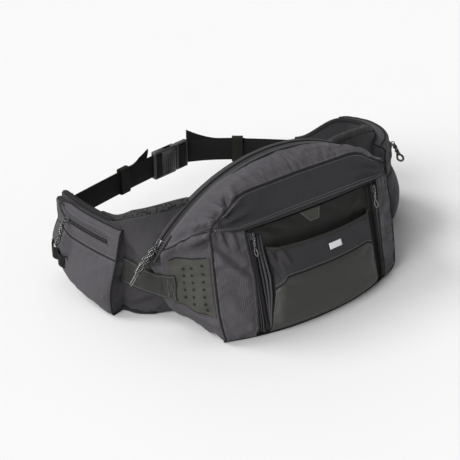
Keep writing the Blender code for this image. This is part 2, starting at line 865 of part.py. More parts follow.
def make_female():
    frame = buckle_frame()
    half_b, half_t = BUCKLE_WIDTH / 2, BUCKLE_THICK / 2
    pivot = wing_hinge(SIDES["left"])
    low, high = (FEMALE_BACK, -half_t, -half_b), (FEMALE_MOUTH, half_t, half_b)
    body = box_in("buckle_female", frame, low, high, moulded(), pivot)
    low, high = (-16.0, -3.6, -half_b + 2.4), (FEMALE_MOUTH + 2.0, 3.6, half_b - 2.4)
    cut(body, box_in("socket", frame, low, high, moulded()))
    for sign, word in ((-1.0, "lower"), (1.0, "upper")):
        ends = sorted((sign * (half_b - 5.0), sign * (half_b + 3.0)))
        window = box_in(f"window_{word}", frame, (-13.0, -3.0, ends[0]), (2.0, 3.0, ends[1]), moulded())
        cut(body, window)
    for k, x in enumerate((-33.0, -25.5)):
        slot = box_in(f"female_slot_{k}", frame, (x, -9.0, -20.5), (x + 4.5, 9.0, 20.5), moulded())
        cut(body, slot)


def make_male():
    frame = buckle_frame()
    half_b = BUCKLE_WIDTH / 2 - 1.0
    pivot = wing_hinge(SIDES["right"])
    start = FEMALE_MOUTH + 0.6
    low, high = (start, -4.5, -half_b), (MALE_END, 4.5, half_b)
    body = box_in("buckle_male", frame, low, high, moulded(), pivot)
    for k, x in enumerate((16.0, 26.0)):
        slot = box_in(f"male_slot_{k}", frame, (x, -9.0, -20.5), (x + 5.5, 9.0, 20.5), moulded())
        cut(body, slot)
    low, high = (-8.0, -1.9, -5.5), (start + 2.0, 1.9, 5.5)
    combine(body, box_in("guide_tongue", frame, low, high, moulded()), "UNION")
    profile = (
        (9.9, 11.5), (9.9, 17.0), (-2.0, 17.6), (-3.0, 20.2), (-9.0, 19.8), (-14.0, 16.0), (-14.0, 12.5),
    )
    for sign, word in ((-1.0, "lower"), (1.0, "upper")):
        rings = [[tuple(frame @ Vector((x, y, sign * z))) for x, z in profile] for y in (-1.9, 1.9)]
        prong_pivot = frame @ Vector((FEMALE_MOUTH, 0.0, sign * 14.0))
        loft(f"prong_{word}", rings, moulded(), tuple(prong_pivot))


# ---------------------------------------------------------------- assembly

def build():
    clear_scene()
    make_shell()
    make_front_top()
    make_gussets_and_tracks()
    make_side_panels()
    make_back()
    make_inside()
    make_main_zip()
    make_front_sliders()
    make_front_panel()
    for name, side in SIDES.items():
        path = make_wing(name, side)
        make_hip_pocket(name, side, path)
        make_compression_band(name, side, path)
        make_strap(name, side, path)
        if name == "left":
            make_gear_loop(side, path)
    make_female()
    make_male()


build()
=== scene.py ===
"""The looks of the waist pack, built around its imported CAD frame.

Shapes are worked out in millimetres with Y = 0 at the pouch's back, +Z up and the pouch's outward face
to -Y, as in the CAD. place() turns them into metres in the frame. Most fabric starts as a Sheet, a grid
of points, which is blown out by a short cloth simulation before anything is sewn onto it.
"""

import math

import bmesh
import bpy
import numpy as np
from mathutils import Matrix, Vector


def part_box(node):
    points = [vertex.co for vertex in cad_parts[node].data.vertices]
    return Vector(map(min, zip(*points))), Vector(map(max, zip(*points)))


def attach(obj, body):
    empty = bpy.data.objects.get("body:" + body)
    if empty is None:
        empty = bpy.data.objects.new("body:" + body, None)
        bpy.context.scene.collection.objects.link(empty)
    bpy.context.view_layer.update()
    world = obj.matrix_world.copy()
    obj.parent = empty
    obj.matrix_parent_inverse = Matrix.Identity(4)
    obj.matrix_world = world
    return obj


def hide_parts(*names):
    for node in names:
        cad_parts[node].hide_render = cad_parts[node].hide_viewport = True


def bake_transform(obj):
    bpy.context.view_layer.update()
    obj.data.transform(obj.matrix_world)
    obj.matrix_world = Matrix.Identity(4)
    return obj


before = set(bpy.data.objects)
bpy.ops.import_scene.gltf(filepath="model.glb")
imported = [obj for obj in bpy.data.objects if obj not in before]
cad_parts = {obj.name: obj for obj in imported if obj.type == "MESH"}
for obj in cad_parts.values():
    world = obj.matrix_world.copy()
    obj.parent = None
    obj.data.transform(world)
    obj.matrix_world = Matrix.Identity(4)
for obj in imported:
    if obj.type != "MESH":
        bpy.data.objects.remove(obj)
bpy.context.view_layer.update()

# ---------------------------------------------------------------- driving dimensions

MM = 0.001
BACK_FACE = 8.0
BACK_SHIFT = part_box("back_mesh")[1].y / MM - BACK_FACE


def low(node):
    """Lowest corner of a CAD node in this script's millimetres."""
    corner = np.array(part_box(node)[0]) / MM
    return corner - (0.0, BACK_SHIFT, 0.0)


def high(node):
    """Highest corner of a CAD node in this script's millimetres."""
    corner = np.array(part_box(node)[1]) / MM
    return corner - (0.0, BACK_SHIFT, 0.0)


BASE_HALF = 132.0
ARCH_RADIUS = 256.0
ARCH_CENTRE_Z = high("main_zip")[2] + 0.4 - ARCH_RADIUS
ARCH_END = 54.0
ZIP_Y = -14.0
MIDDLE_Y = -45.0
BACK_Y = -4.0
FRONT_TOP = 200.0
FRONT_HALF = 155.0
BULGE_Z = 18.0
FRONT_TOP_Y = -73.0
FRONT_BULGE_Y = -143.0
FRONT_BASE_Y = -136.0
FRONT_WRAP = 30.0
HEM_Z = low("top_front_panel")[2]
PANEL_LEFT, PANEL_BASE = low("front_liner")[0], low("front_liner")[2]
PANEL_RIGHT, LINER_TOP = high("front_liner")[0], high("front_liner")[2]
STASH_LEFT, STASH_RIGHT = low("stash_lower_panel")[0], high("stash_lower_panel")[0]
STASH_TOP_LEFT, STASH_TOP_RIGHT = 118.0, 113.0
TRACK_LEFT = (low("front_zip_left")[0] + high("front_zip_left")[0]) / 2
TRACK_RIGHT = (low("front_zip_right")[0] + high("front_zip_right")[0]) / 2
WING_HALF_THICK = 4.5
WELT_Z = 84.0
POCKET_RISE = 38.0
ON_WING = WING_HALF_THICK + 1.3
BELT_Z = 85.0
WEBBING = 38.0
BUCKLE_CENTRE = (8.0, 255.0)
BUCKLE_YAW = 8.0
FEMALE_BACK, FEMALE_MOUTH, MALE_END = -36.0, 10.0, 36.0
BUCKLE_WIDTH, BUCKLE_THICK = 48.0, 11.0
CORD_RADIUS = 2.2
SIDES = {
    "left": {
        "sign": -1, "heading": 104.0,
        "legs": ((34.0, 0.0), (140.0, 14.0), (40.0, 76.0)), "splay": 12.0, "high": 130.0,
        "pocket": (40.0, 190.0), "pocket_zip": (60.0, 170.0), "slider_at": 0.75,
        "depth": 31.0, "lid": 17.0, "taper": 40.0, "drop": 10.0, "brow": 5.0, "lining": "mesh",
        "strap_end": BUCKLE_YAW + 2.0, "tail": 75.0, "tail_rise": 26.0,
    },
    "right": {
        "sign": 1, "heading": 32.0,
        "legs": ((46.0, 0.0), (84.0, 106.0), (74.0, 0.0)), "splay": 12.0, "high": 142.0,
        "pocket": (30.0, 170.0), "pocket_zip": (50.0, 130.0), "slider_at": 0.3,
        "depth": 38.0, "lid": 26.0, "taper": 70.0, "drop": 18.0, "brow": 19.0, "lining": "dark_fabric_and_shade",
        "strap_end": 160.0, "tail": 95.0, "tail_rise": 16.0,
    },
}
WING_ROOT = (197.0, 10.0)


# ---------------------------------------------------------------- numbers and curves

def place(points):
    """Millimetres here to metres in the frame."""
    return (np.asarray(points, float) + (0.0, BACK_SHIFT, 0.0)) * MM


def mix(a, b, t):
    return a + (b - a) * t


def clamp(value, lowest=0.0, highest=1.0):
    return min(max(value, lowest), highest)


def smooth(t):
    t = np.clip(t, 0.0, 1.0)
    return t * t * (3 - 2 * t)


def hill(distance, width):
    """A rounded bump: 1 in the middle, dying away over width."""
    return np.exp(-((distance / width) ** 2))


def unit(vectors):
    vectors = np.asarray(vectors, float)
    length = np.linalg.norm(vectors, axis=-1, keepdims=True)
    return vectors / np.maximum(length, 1e-9)


def curve_between(a, b, c, d, t):
    """A point between b and c on the smooth curve through four points."""
    square = 2 * a - 5 * b + 4 * c - d
    cube = 3 * b - a - 3 * c + d
    return 0.5 * (2 * b + (c - a) * t + square * t**2 + cube * t**3)


def spline(points, per=8):
    """A smooth curve through points, per steps between each two."""
    points = np.asarray(points, float)
    count = len(points)
    made = []
    for i in range(count - 1):
        b, c = points[i], points[i + 1]
        a = points[i - 1] if i > 0 else 2 * b - c
        d = points[i + 2] if i + 2 < count else 2 * c - b
        made += [curve_between(a, b, c, d, k / per) for k in range(per)]
    made.append(points[-1])
    return np.array(made)


def lengths(points):
    """The distance along a polyline at each of its points."""
    steps = np.linalg.norm(np.diff(points, axis=0), axis=1)
    return np.concatenate([[0.0], np.cumsum(steps)])


def even(points, count):
    """Count points at equal steps along a polyline."""
    points = np.asarray(points, float)
    at = lengths(points)
    wanted = np.linspace(0.0, at[-1], count)
    return np.stack([np.interp(wanted, at, points[:, k]) for k in range(points.shape[1])], axis=1)


def tangents(points):
    return unit(np.gradient(np.asarray(points, float), axis=0))


# ---------------------------------------------------------------- meshes

def make_object(name, points, faces, look, uv=None):
    """A smooth-shaded object from points in millimetres. uv holds one millimetre pair for each point."""
    mesh = bpy.data.meshes.new(name)
    placed = place(points)
    placed[:, 2] = np.maximum(placed[:, 2], 0.0)
    mesh.from_pydata([tuple(p) for p in placed], [], faces)
    mesh.polygons.foreach_set("use_smooth", [True] * len(mesh.polygons))
    if uv is not None:
        layer = mesh.uv_layers.new(name="fabric")
        index = np.zeros(len(mesh.loops), int)
        mesh.loops.foreach_get("vertex_index", index)
        layer.data.foreach_set("uv", np.asarray(uv, float)[index].ravel())
    obj = bpy.data.objects.new(name, mesh)
    obj.data.materials.append(look)
    bpy.context.scene.collection.objects.link(obj)
    return obj


def apply_modifiers(obj):
    """The object with its modifiers turned into mesh, and nothing of it below the floor."""
    graph = bpy.context.evaluated_depsgraph_get()
    mesh = bpy.data.meshes.new_from_object(obj.evaluated_get(graph))
    for vertex in mesh.vertices:
        vertex.co.z = max(vertex.co.z, 0.0)
    obj.modifiers.clear()
    obj.data = mesh
    return obj


def face_outward(obj):
    bm = bmesh.new()
    bm.from_mesh(obj.data)
    bmesh.ops.recalc_face_normals(bm, faces=bm.faces)
    bm.to_mesh(obj.data)
    bm.free()


def ring_faces(rings, count, closed=False):
    """Faces of a tube of rings of count points each, capped unless it closes on itself."""
    faces = []
    for r in range(rings if closed else rings - 1):
        n = (r + 1) % rings
        for i in range(count):
            j = (i + 1) % count
            faces.append((r * count + i, r * count + j, n * count + j, n * count + i))
    if not closed:
        faces.append(tuple(reversed(range(count))))
        faces.append(tuple(range((rings - 1) * count, rings * count)))
    return faces


FIRST_GUIDE = (0.3, 0.2, 0.93)


class Bag:
    """Collects many small solids into one mesh."""

    def __init__(self):
        self.points = []
        self.faces = []
        self.uv = []

    def add(self, points, faces, uv=None):
        base = len(self.points)
        self.points += [tuple(p) for p in points]
        self.faces += [tuple(base + i for i in face) for face in faces]
        self.uv += [tuple(p) for p in (uv if uv is not None else np.zeros((len(points), 2)))]

    def tube(self, path, radius, sides=8, closed=False, up=None, flat=1.0, taper=0.0):
        """A tube along a path. up is one vector or one for each point; flat squeezes the tube along it,
        and taper rounds its ends over that length."""
        path = np.asarray(path, float)
        along = tangents(path)
        if closed:
            along = unit(np.roll(path, -1, axis=0) - np.roll(path, 1, axis=0))
        side = np.zeros_like(path)
        if up is not None:
            up = np.broadcast_to(up, path.shape)
        for i in range(len(path)):
            if up is not None:
                guide = up[i]
            elif i:
                guide = np.cross(side[i - 1], along[i - 1])
            else:
                guide = FIRST_GUIDE
            cross = np.cross(along[i], guide)
            side[i] = cross / max(np.linalg.norm(cross), 1e-9)
        over = np.cross(side, along)
        at = lengths(path)
        radius = np.broadcast_to(np.asarray(radius, float), (len(path),)).copy()
        if taper:
            edge = np.minimum(at, at[-1] - at)
            radius *= np.sqrt(np.clip(1 - (1 - np.clip(edge / taper, 0.05, 1)) ** 2, 0.1, 1))
        turn = np.arange(sides) * math.tau / sides
        rings = (path[:, None] + side[:, None] * (np.cos(turn)[None, :, None] * radius[:, None, None])
                 + over[:, None] * (np.sin(turn)[None, :, None] * radius[:, None, None] * flat))
        uv = np.stack(np.broadcast_arrays(at[:, None], turn[None, :] * float(radius.max())), axis=-1)
        self.add(rings.reshape(-1, 3), ring_faces(len(path), sides, closed), uv.reshape(-1, 2))

    def make(self, name, look):
        return make_object(name, self.points, self.faces, look, self.uv)


def tube(name, path, radius, look, **more):
    bag = Bag()
    bag.tube(path, radius, **more)
    return bag.make(name, look)


def strap(name, centre, across, out, half_width, thick, look):
    """Webbing along a path. across and out are one vector for each point; its edges are rounded."""
    profile = (
        (-1.0, -0.25), (-0.985, -0.5), (0.985, -0.5), (1.0, -0.25),
        (1.0, 0.25), (0.985, 0.5), (-0.985, 0.5), (-1.0, 0.25),
    )
    half_width = np.broadcast_to(np.asarray(half_width, float), (len(centre),))
    at = lengths(np.asarray(centre, float))
    points, uv = [], []
    for c, a, o, h, s in zip(centre, across, out, half_width, at):
        for x, y in profile:
            points.append(c + a * x * h + o * y * thick)
            uv.append((s, x * h))
    return make_object(name, points, ring_faces(len(centre), len(profile)), look, uv)


class Sheet:
    """A grid of points: columns run along u, rows along v. out is +1 or -1, so that normals face out."""

    def __init__(self, points, wrap=False, out=1.0):
        self.points = np.asarray(points, float)
        self.wrap = wrap
        self.out = out
        self.uv = self.measure()

    @classmethod
    def of(cls, function, columns, rows, out=1.0):
        """The sheet whose point at (u, v) is function(u, v), with u and v from 0 to 1."""
        us = np.linspace(0, 1, columns + 1)
        vs = np.linspace(0, 1, rows + 1)
        return cls([[function(u, v) for u in us] for v in vs], out=out)

    def measure(self):
        """Millimetres along each row and column, for the weave."""
        p = self.points
        row = np.linalg.norm(np.diff(p, axis=1), axis=2).mean(axis=0)
        column = np.linalg.norm(np.diff(p, axis=0), axis=2).mean(axis=1)
        u = np.concatenate([[0], np.cumsum(row)])
        v = np.concatenate([[0], np.cumsum(column)])
        return np.stack(np.broadcast_arrays(u[None, :], v[:, None]), axis=-1)

    def normals(self):
        p = self.points
        if self.wrap:
            du = np.roll(p, -1, axis=1) - np.roll(p, 1, axis=1)
        else:
            du = np.gradient(p, axis=1)
        dv = np.gradient(p, axis=0)
        return unit(np.cross(du, dv)) * self.out

    def lookup(self, grid, u, v):
        """A grid's value at (u, v), between its four nearest points."""
        rows, columns = grid.shape[:2]
        x = u * (columns if self.wrap else columns - 1)
        y = clamp(v) * (rows - 1)
        j = int(clamp(math.floor(y), 0, rows - 2))
        g = y - j
        i = int(math.floor(x)) if self.wrap else int(clamp(math.floor(x), 0, columns - 2))
        f = x - i
        a, b = i % columns, (i + 1) % columns
        low_row = grid[j, a] * (1 - f) + grid[j, b] * f
        high_row = grid[j + 1, a] * (1 - f) + grid[j + 1, b] * f
        return low_row * (1 - g) + high_row * g

    def path(self, places, lift=0.0):
        """Points at (u, v) places, lifted off the sheet, and their normals."""
        normals = self.normals()
        n = unit([self.lookup(normals, u, v) for u, v in places])
        p = np.array([self.lookup(self.points, u, v) for u, v in places])
        return p + n * np.reshape(lift, (-1, 1)), n

    def moved(self, function):
        """A copy lifted along its normals by function(u, v, point) millimetres."""
        rows, columns = self.points.shape[:2]
        wide = columns if self.wrap else columns - 1
        by = np.zeros((rows, columns))
        for j in range(rows):
            for i in range(columns):
                by[j, i] = function(i / wide, j / (rows - 1), self.points[j, i])
        return self.copy(self.points + self.normals() * by[..., None])

    def folded(self, strokes, fade=(0.05, 0.05, 0.1, 0.1), ripple=(0, 10.0, 0.3)):
        """A copy with folds pressed into it. Each stroke has a (u, v) at both ends, a width and a depth in
        millimetres. fade is the share over which folds die away at the left, right, bottom and top edges;
        ripple is a seed, a count of waves and a depth for the cloth's small unevenness."""
        rows, columns = self.points.shape[:2]
        u = np.linspace(0.0, 1.0, columns + 1)[:columns] if self.wrap else np.linspace(0.0, 1.0, columns)
        u, v = np.meshgrid(u, np.linspace(0.0, 1.0, rows))
        lift = np.zeros((rows, columns))
        for k in range(3):
            turn = ripple[0] * 1.7 + k * 2.1
            size = ripple[1]
            waves = u * size * (1.0 + 0.6 * k) + turn + 2.0 * np.sin(v * size * 0.5 + turn)
            lift += ripple[2] * np.sin(waves) / (1 + k)
        for start, end, width, depth in strokes:
            a, b = self.path([start, end])[0]
            stroke = b - a
            away = self.points - a
            along = away @ stroke / float(stroke @ stroke)
            across = np.linalg.norm(away - stroke * along[..., None], axis=2)
            ends = smooth((along + 0.3) / 0.3) * smooth((1.1 - along) / 0.7)
            lift += depth * hill(across, width) * ends
        left, right, bottom, top = fade
        edge = smooth(v / bottom) * smooth((1.0 - v) / top)
        if not self.wrap:
            edge = edge * smooth(u / left) * smooth((1.0 - u) / right)
        return self.copy(self.points + self.normals() * (lift * edge)[..., None])

    def copy(self, points):
        """The same cloth with other points: it keeps its weave's millimetres."""
        made = Sheet.__new__(Sheet)
        made.points, made.wrap, made.out, made.uv = points, self.wrap, self.out, self.uv
        return made

    def faces(self):
        rows, columns = self.points.shape[:2]
        wide = columns if self.wrap else columns - 1
        faces = []
        for j in range(rows - 1):
            for i in range(wide):
                k = (i + 1) % columns
                face = (j * columns + i, j * columns + k, (j + 1) * columns + k, (j + 1) * columns + i)
                faces.append(face if self.out > 0 else face[::-1])
        return faces

    def make(self, name, look, thick=1.0, levels=1):
        """The sheet as an object: smoothed, then thickened inwards."""
        obj = make_object(name, self.points.reshape(-1, 3), self.faces(), look, self.uv.reshape(-1, 2))
        if levels:
            more = obj.modifiers.new("smooth", "SUBSURF")
            more.levels = more.render_levels = levels
            more.boundary_smooth = "PRESERVE_CORNERS"
        solid = obj.modifiers.new("thick", "SOLIDIFY")
        solid.thickness = thick * MM
        solid.offset = -1.0
        return apply_modifiers(obj)


DRAPE_FRAMES = 18
DRAPE_STIFFNESS = 12.0


def drape(sheet, held, pressure, grow, cap):
    """The sheet after a short cloth simulation: cloth a little bigger than its frame, blown outwards.
    held is 0 to 1 for each point, and no point moves further than cap millimetres."""
    obj = make_object("draping", sheet.points.reshape(-1, 3), sheet.faces(), None)
    group = obj.vertex_groups.new(name="held")
    for i, weight in enumerate(np.asarray(held, float).ravel()):
        if weight > 0:
            group.add([i], float(weight), "REPLACE")
    cloth = obj.modifiers.new("cloth", "CLOTH")
    settings = cloth.settings
    settings.quality = 5
    settings.mass = 0.3
    settings.tension_stiffness = settings.compression_stiffness = DRAPE_STIFFNESS
    settings.shear_stiffness = DRAPE_STIFFNESS / 2
    settings.bending_stiffness = 0.4
    settings.vertex_group_mass = "held"
    settings.shrink_min = -grow
    settings.use_pressure = True
    settings.uniform_pressure_force = pressure
    settings.effector_weights.gravity = 0.0
    cloth.collision_settings.use_self_collision = False
    scene = bpy.context.scene
    for number in range(1, DRAPE_FRAMES + 1):
        scene.frame_set(number)
    graph = bpy.context.evaluated_depsgraph_get()
    shaped = obj.evaluated_get(graph)
    found = np.zeros(len(shaped.data.vertices) * 3)
    shaped.data.vertices.foreach_get("co", found)
    found = found.reshape(sheet.points.shape) / MM - (0.0, BACK_SHIFT, 0.0)
    step = found - sheet.points
    size = np.linalg.norm(step, axis=2, keepdims=True)
    step *= np.minimum(size, cap) / np.maximum(size, 1e-9)
    bpy.data.objects.remove(obj, do_unlink=True)
    scene.frame_set(1)
    return sheet.copy(sheet.points + step)


def border(sheet, columns=True):
    """How firmly drape() holds each point: the sheet's first and last rows, and its side columns."""
    held = np.zeros(sheet.points.shape[:2])
    held[0] = held[-1] = 1.0
    if columns and not sheet.wrap:
        held[:, 0] = held[:, -1] = 1.0
    return held


# ---------------------------------------------------------------- materials

class Shader:
    """Builds the nodes of one material. Patterns are measured in millimetres along the fabric."""

    def __init__(self, name, colour, roughness, metallic=0.0, sheen=0.0, on_cad=False):
        self.material = bpy.data.materials.new(name)
        self.material.use_nodes = True
        self.tree = self.material.node_tree
        self.bsdf = self.tree.nodes["Principled BSDF"]
        self.bsdf.inputs["Roughness"].default_value = roughness
        self.bsdf.inputs["Metallic"].default_value = metallic
        self.bsdf.inputs["Sheen Weight"].default_value = sheen
        self.bsdf.inputs["Sheen Roughness"].default_value = 0.4
        self.bsdf.inputs["Specular IOR Level"].default_value = 0.22
        self.colour = colour
        self.height = None
        self.shade = None
        self.solid = self.node("ShaderNodeNewGeometry").outputs["Position"]
        self.solid = self.vector("SCALE", self.solid, 1 / MM)
        if on_cad:
            self.flat = self.solid
        else:
            self.flat = self.node("ShaderNodeUVMap", uv_map="fabric").outputs["UV"]
        self.split = self.node("ShaderNodeSeparateXYZ", {"Vector": self.flat})

    def node(self, kind, inputs=None, **settings):
        """A new node; an input is a value or another node's socket."""
        made = self.tree.nodes.new(kind)
        for key, value in settings.items():
            setattr(made, key, value)
        for key, value in (inputs or {}).items():
            if isinstance(value, bpy.types.NodeSocket):
                self.tree.links.new(value, made.inputs[key])
            else:
                made.inputs[key].default_value = value
        return made

    def vector(self, operation, a, scale):
        return self.node("ShaderNodeVectorMath", {0: a, "Scale": scale}, operation=operation).outputs[0]

    def math(self, operation, a, b=0.0):
        return self.node("ShaderNodeMath", {0: a, 1: b}, operation=operation).outputs[0]

    def ribs(self, axis, period):
        """Waves 0 to 1 across one axis, one each period millimetres."""
        turn = self.math("MULTIPLY", self.split.outputs["XYZ".index(axis)], math.tau / period)
        wave = self.math("SINE", turn)
        return self.math("ADD", self.math("MULTIPLY", wave, 0.5), 0.5)

    def lines(self, axis, period, share):
        """Thin lines: 1 over a share of each period, 0 elsewhere."""
        wave = self.ribs(axis, period)
        return self.math("GREATER_THAN", wave, math.cos(math.pi * share) * 0.5 + 0.5)

    def noise(self, size, detail=2.0, contrast=1.0):
        """Cloudy noise round 0.5, size millimetres across."""
        inputs = {"Vector": self.solid, "Scale": 1.0 / size, "Detail": detail}
        texture = self.node("ShaderNodeTexNoise", inputs)
        centred = self.math("SUBTRACT", texture.outputs["Fac"], 0.5)
        return self.math("ADD", self.math("MULTIPLY", centred, contrast), 0.5)

    def cells(self, size):
        """The distance to the middle of the nearest cell, with cells size millimetres apart."""
        return self.node("ShaderNodeTexVoronoi", {"Vector": self.flat, "Scale": 1.0 / size}).outputs[0]

    def raise_by(self, value, amount):
        """Adds amount millimetres of relief where value is 1."""
        more = self.math("MULTIPLY", value, amount)
        self.height = more if self.height is None else self.math("ADD", self.height, more)

    def darken(self, value, amount):
        """Multiplies the colour by 1 - amount where value is 1; a negative amount lightens."""
        factor = self.math("SUBTRACT", 1.0, self.math("MULTIPLY", value, amount))
        self.shade = factor if self.shade is None else self.math("MULTIPLY", self.shade, factor)

    def rough(self, value, low_end, high_end):
        """Roughness from low_end to high_end as value goes from 0 to 1."""
        span = self.math("MULTIPLY", value, high_end - low_end)
        self.tree.links.new(self.math("ADD", span, low_end), self.bsdf.inputs["Roughness"])

    def finish(self):
        """Links up the colour and the relief, and hands over the material."""
        plain = self.node("ShaderNodeRGB").outputs[0]
        plain.default_value = (*self.colour, 1.0)
        shown = plain if self.shade is None else self.vector("SCALE", plain, self.shade)
        self.tree.links.new(shown, self.bsdf.inputs["Base Color"])
        if self.height is not None:
            made = self.node("ShaderNodeBump", {"Height": self.height, "Distance": MM, "Strength": 1.0})
            self.tree.links.new(made.outputs["Normal"], self.bsdf.inputs["Normal"])
        return self.material


FABRIC = (0.094, 0.088, 0.098)
COATED = (0.040, 0.040, 0.036)
LAMINATE = (0.060, 0.060, 0.052)
ELASTIC = (0.044, 0.045, 0.040)
BLACK = (0.007, 0.007, 0.007)


def woven(shader, thread=0.9, depth=0.12):
    """Crossed threads, with the small unevenness of real yarn."""
    across, along = shader.ribs("X", thread), shader.ribs("Y", thread)
    shader.raise_by(shader.math("MULTIPLY", across, along), depth)
    shader.darken(shader.noise(1.1, 1.0, contrast=1.6), 0.22)
    shader.darken(shader.noise(45.0, 2.0), 0.25)
    shader.raise_by(shader.noise(14.0, 3.0), 0.5)
    shader.rough(shader.noise(9.0, 2.0), 0.62, 0.85)


def plain_fabric():
    shader = Shader("woven_fabric", FABRIC, 0.75, sheen=0.02)
    woven(shader)
    grid = shader.math("MAXIMUM", shader.lines("X", 5.0, 0.12), shader.lines("Y", 5.0, 0.12))
    shader.raise_by(grid, 0.12)
    shader.darken(grid, 0.12)
    return shader.finish()


def dark_fabric_and_shade():
    # A darker woven fabric: the cloth's own darker parts, and painted shade where it covers the wing faces.
    shader = Shader("dark_woven_fabric_and_shade", (0.050, 0.047, 0.051), 0.75, sheen=0.02)
    woven(shader)
    return shader.finish()


def ribbed_fabric():
    """The side gussets of the front: fine upright ribs whose raised crests are lighter."""
    shader = Shader("ribbed_fabric", FABRIC, 0.75, sheen=0.02)
    woven(shader, 0.9, 0.08)
    ribs = shader.ribs("X", 2.9)
    shader.raise_by(ribs, 0.28)
    shader.darken(ribs, -0.22)
    return shader.finish()


def coated_fabric():
    shader = Shader("coated_fabric", COATED, 0.5)
    shader.bsdf.inputs["Specular IOR Level"].default_value = 0.45
    shader.raise_by(shader.noise(0.8, 2.0), 0.12)
    shader.raise_by(shader.noise(22.0, 2.0), 0.7)
    shader.darken(shader.noise(60.0, 2.0), 0.18)
    shader.rough(shader.noise(16.0, 3.0), 0.42, 0.6)
    return shader.finish()


def liner_cloth():
    """The darker, softer cloth behind the stash pocket."""
    shader = Shader("liner_cloth", (0.017, 0.017, 0.016), 0.55)
    shader.raise_by(shader.noise(0.8, 2.0), 0.1)
    shader.raise_by(shader.noise(18.0, 2.0), 0.8)
    shader.rough(shader.noise(16.0, 3.0), 0.45, 0.65)
    return shader.finish()


def laminate():
    shader = Shader("laminate", LAMINATE, 0.65)
    shader.raise_by(shader.noise(0.7, 2.0), 0.1)
    shader.darken(shader.noise(1.4, 1.0, contrast=1.8), 0.16)
    shader.rough(shader.noise(12.0, 2.0), 0.55, 0.75)
    return shader.finish()


def elastic():
    shader = Shader("ribbed_elastic", ELASTIC, 0.8, sheen=0.02)
    shader.raise_by(shader.ribs("Y", 1.9), 0.3)
    shader.raise_by(shader.ribs("X", 0.9), 0.1)
    shader.darken(shader.ribs("Y", 1.9), 0.25)
    shader.darken(shader.noise(1.2, 1.0, contrast=1.5), 0.15)
    return shader.finish()


def webbing(name="belt_webbing", colour=BLACK):
    """Woven webbing: a herringbone of ridges over fine ribs along it."""
    shader = Shader(name, colour, 0.75)
    across = shader.math("ABSOLUTE", shader.math("SUBTRACT", shader.ribs("Y", 9.0), 0.5))
    turn = shader.math("ADD", shader.split.outputs[0], shader.math("MULTIPLY", across, 6.0))
    wave = shader.math("SINE", shader.math("MULTIPLY", turn, math.tau / 1.7))
    shader.raise_by(wave, 0.14)
    shader.raise_by(shader.ribs("Y", 1.5), 0.16)
    shader.darken(wave, 0.25)
    shader.darken(shader.noise(30.0, 2.0), 0.25)
    return shader.finish()


def spacer_mesh():
    """Knitted spacer mesh: open cells darkened as painted shade, with a speckle between them that leaves
    painted glints of pale yarn.
    """
    shader = Shader("spacer_mesh", (0.05, 0.05, 0.05), 0.8, sheen=0.05)
    hole = shader.cells(3.0)
    yarn = shader.node("ShaderNodeMapRange", {"Value": hole, "From Min": 0.25, "From Max": 0.55}).outputs[0]
    shader.raise_by(yarn, 0.9)
    # Painted shade: the open cells are darkened to stand for the depth of the holes.
    shader.darken(shader.math("SUBTRACT", 1.0, yarn), 0.8)
    # Painted highlight: a high-contrast speckle, so that some of the yarn shows as pale glints.
    shader.darken(shader.noise(1.3, 1.0, contrast=3.0), 0.5)
    return shader.finish()


def zip_tape():
    shader = Shader("zip_tape", (0.014, 0.014, 0.014), 0.7)
    shader.raise_by(shader.ribs("Y", 1.1), 0.12)
    shader.darken(shader.ribs("Y", 1.1), 0.3)
    shader.darken(shader.noise(1.0, 1.0), 0.2)
    return shader.finish()


def smooth_plastic(name, colour, low_rough, high_rough):
    shader = Shader(name, colour, 0.4)
    shader.bsdf.inputs["Specular IOR Level"].default_value = 0.5
    shader.raise_by(shader.noise(0.5, 2.0), 0.06)
    shader.darken(shader.noise(7.0, 3.0), 0.15)
    shader.rough(shader.noise(3.0, 3.0), low_rough, high_rough)
    return shader.finish()


def metal():
    shader = Shader("dark_metal", (0.16, 0.16, 0.165), 0.35, metallic=1.0)
    shader.raise_by(shader.noise(0.6, 2.0), 0.05)
    shader.darken(shader.noise(2.5, 3.0), 0.4)
    shader.rough(shader.noise(1.5, 3.0), 0.22, 0.5)
    return shader.finish()


def cord():
    """Braided cord, black with pale flecks that wind round it."""
    shader = Shader("flecked_cord", (0.018, 0.018, 0.018), 0.75)
    along, round_it = shader.split.outputs[0], shader.math("MULTIPLY", shader.split.outputs[1], 0.6)
    one, two = shader.math("ADD", along, round_it), shader.math("SUBTRACT", along, round_it)
    first = shader.math("SINE", shader.math("MULTIPLY", one, math.tau / 4.4))
    second = shader.math("SINE", shader.math("MULTIPLY", two, math.tau / 4.4))
    fleck = shader.math("GREATER_THAN", shader.math("MULTIPLY", first, second), 0.42)
    shader.darken(fleck, -26.0)
    shader.raise_by(shader.math("ADD", first, second), 0.15)
    return shader.finish()


def pale_film():
    shader = Shader("pale_film", (0.85, 0.85, 0.86), 0.35)
    shader.darken(shader.cells(1.2), 0.08)
    shader.rough(shader.noise(2.0), 0.25, 0.45)
    return shader.finish()


def hidden_sheet(name, colour):
    """For CAD nodes that are kept as they are."""
    shader = Shader(name, colour, 0.6, on_cad=True)
    shader.raise_by(shader.noise(2.0, 3.0), 0.2)
    shader.darken(shader.noise(12.0, 2.0), 0.2)
    return shader.finish()


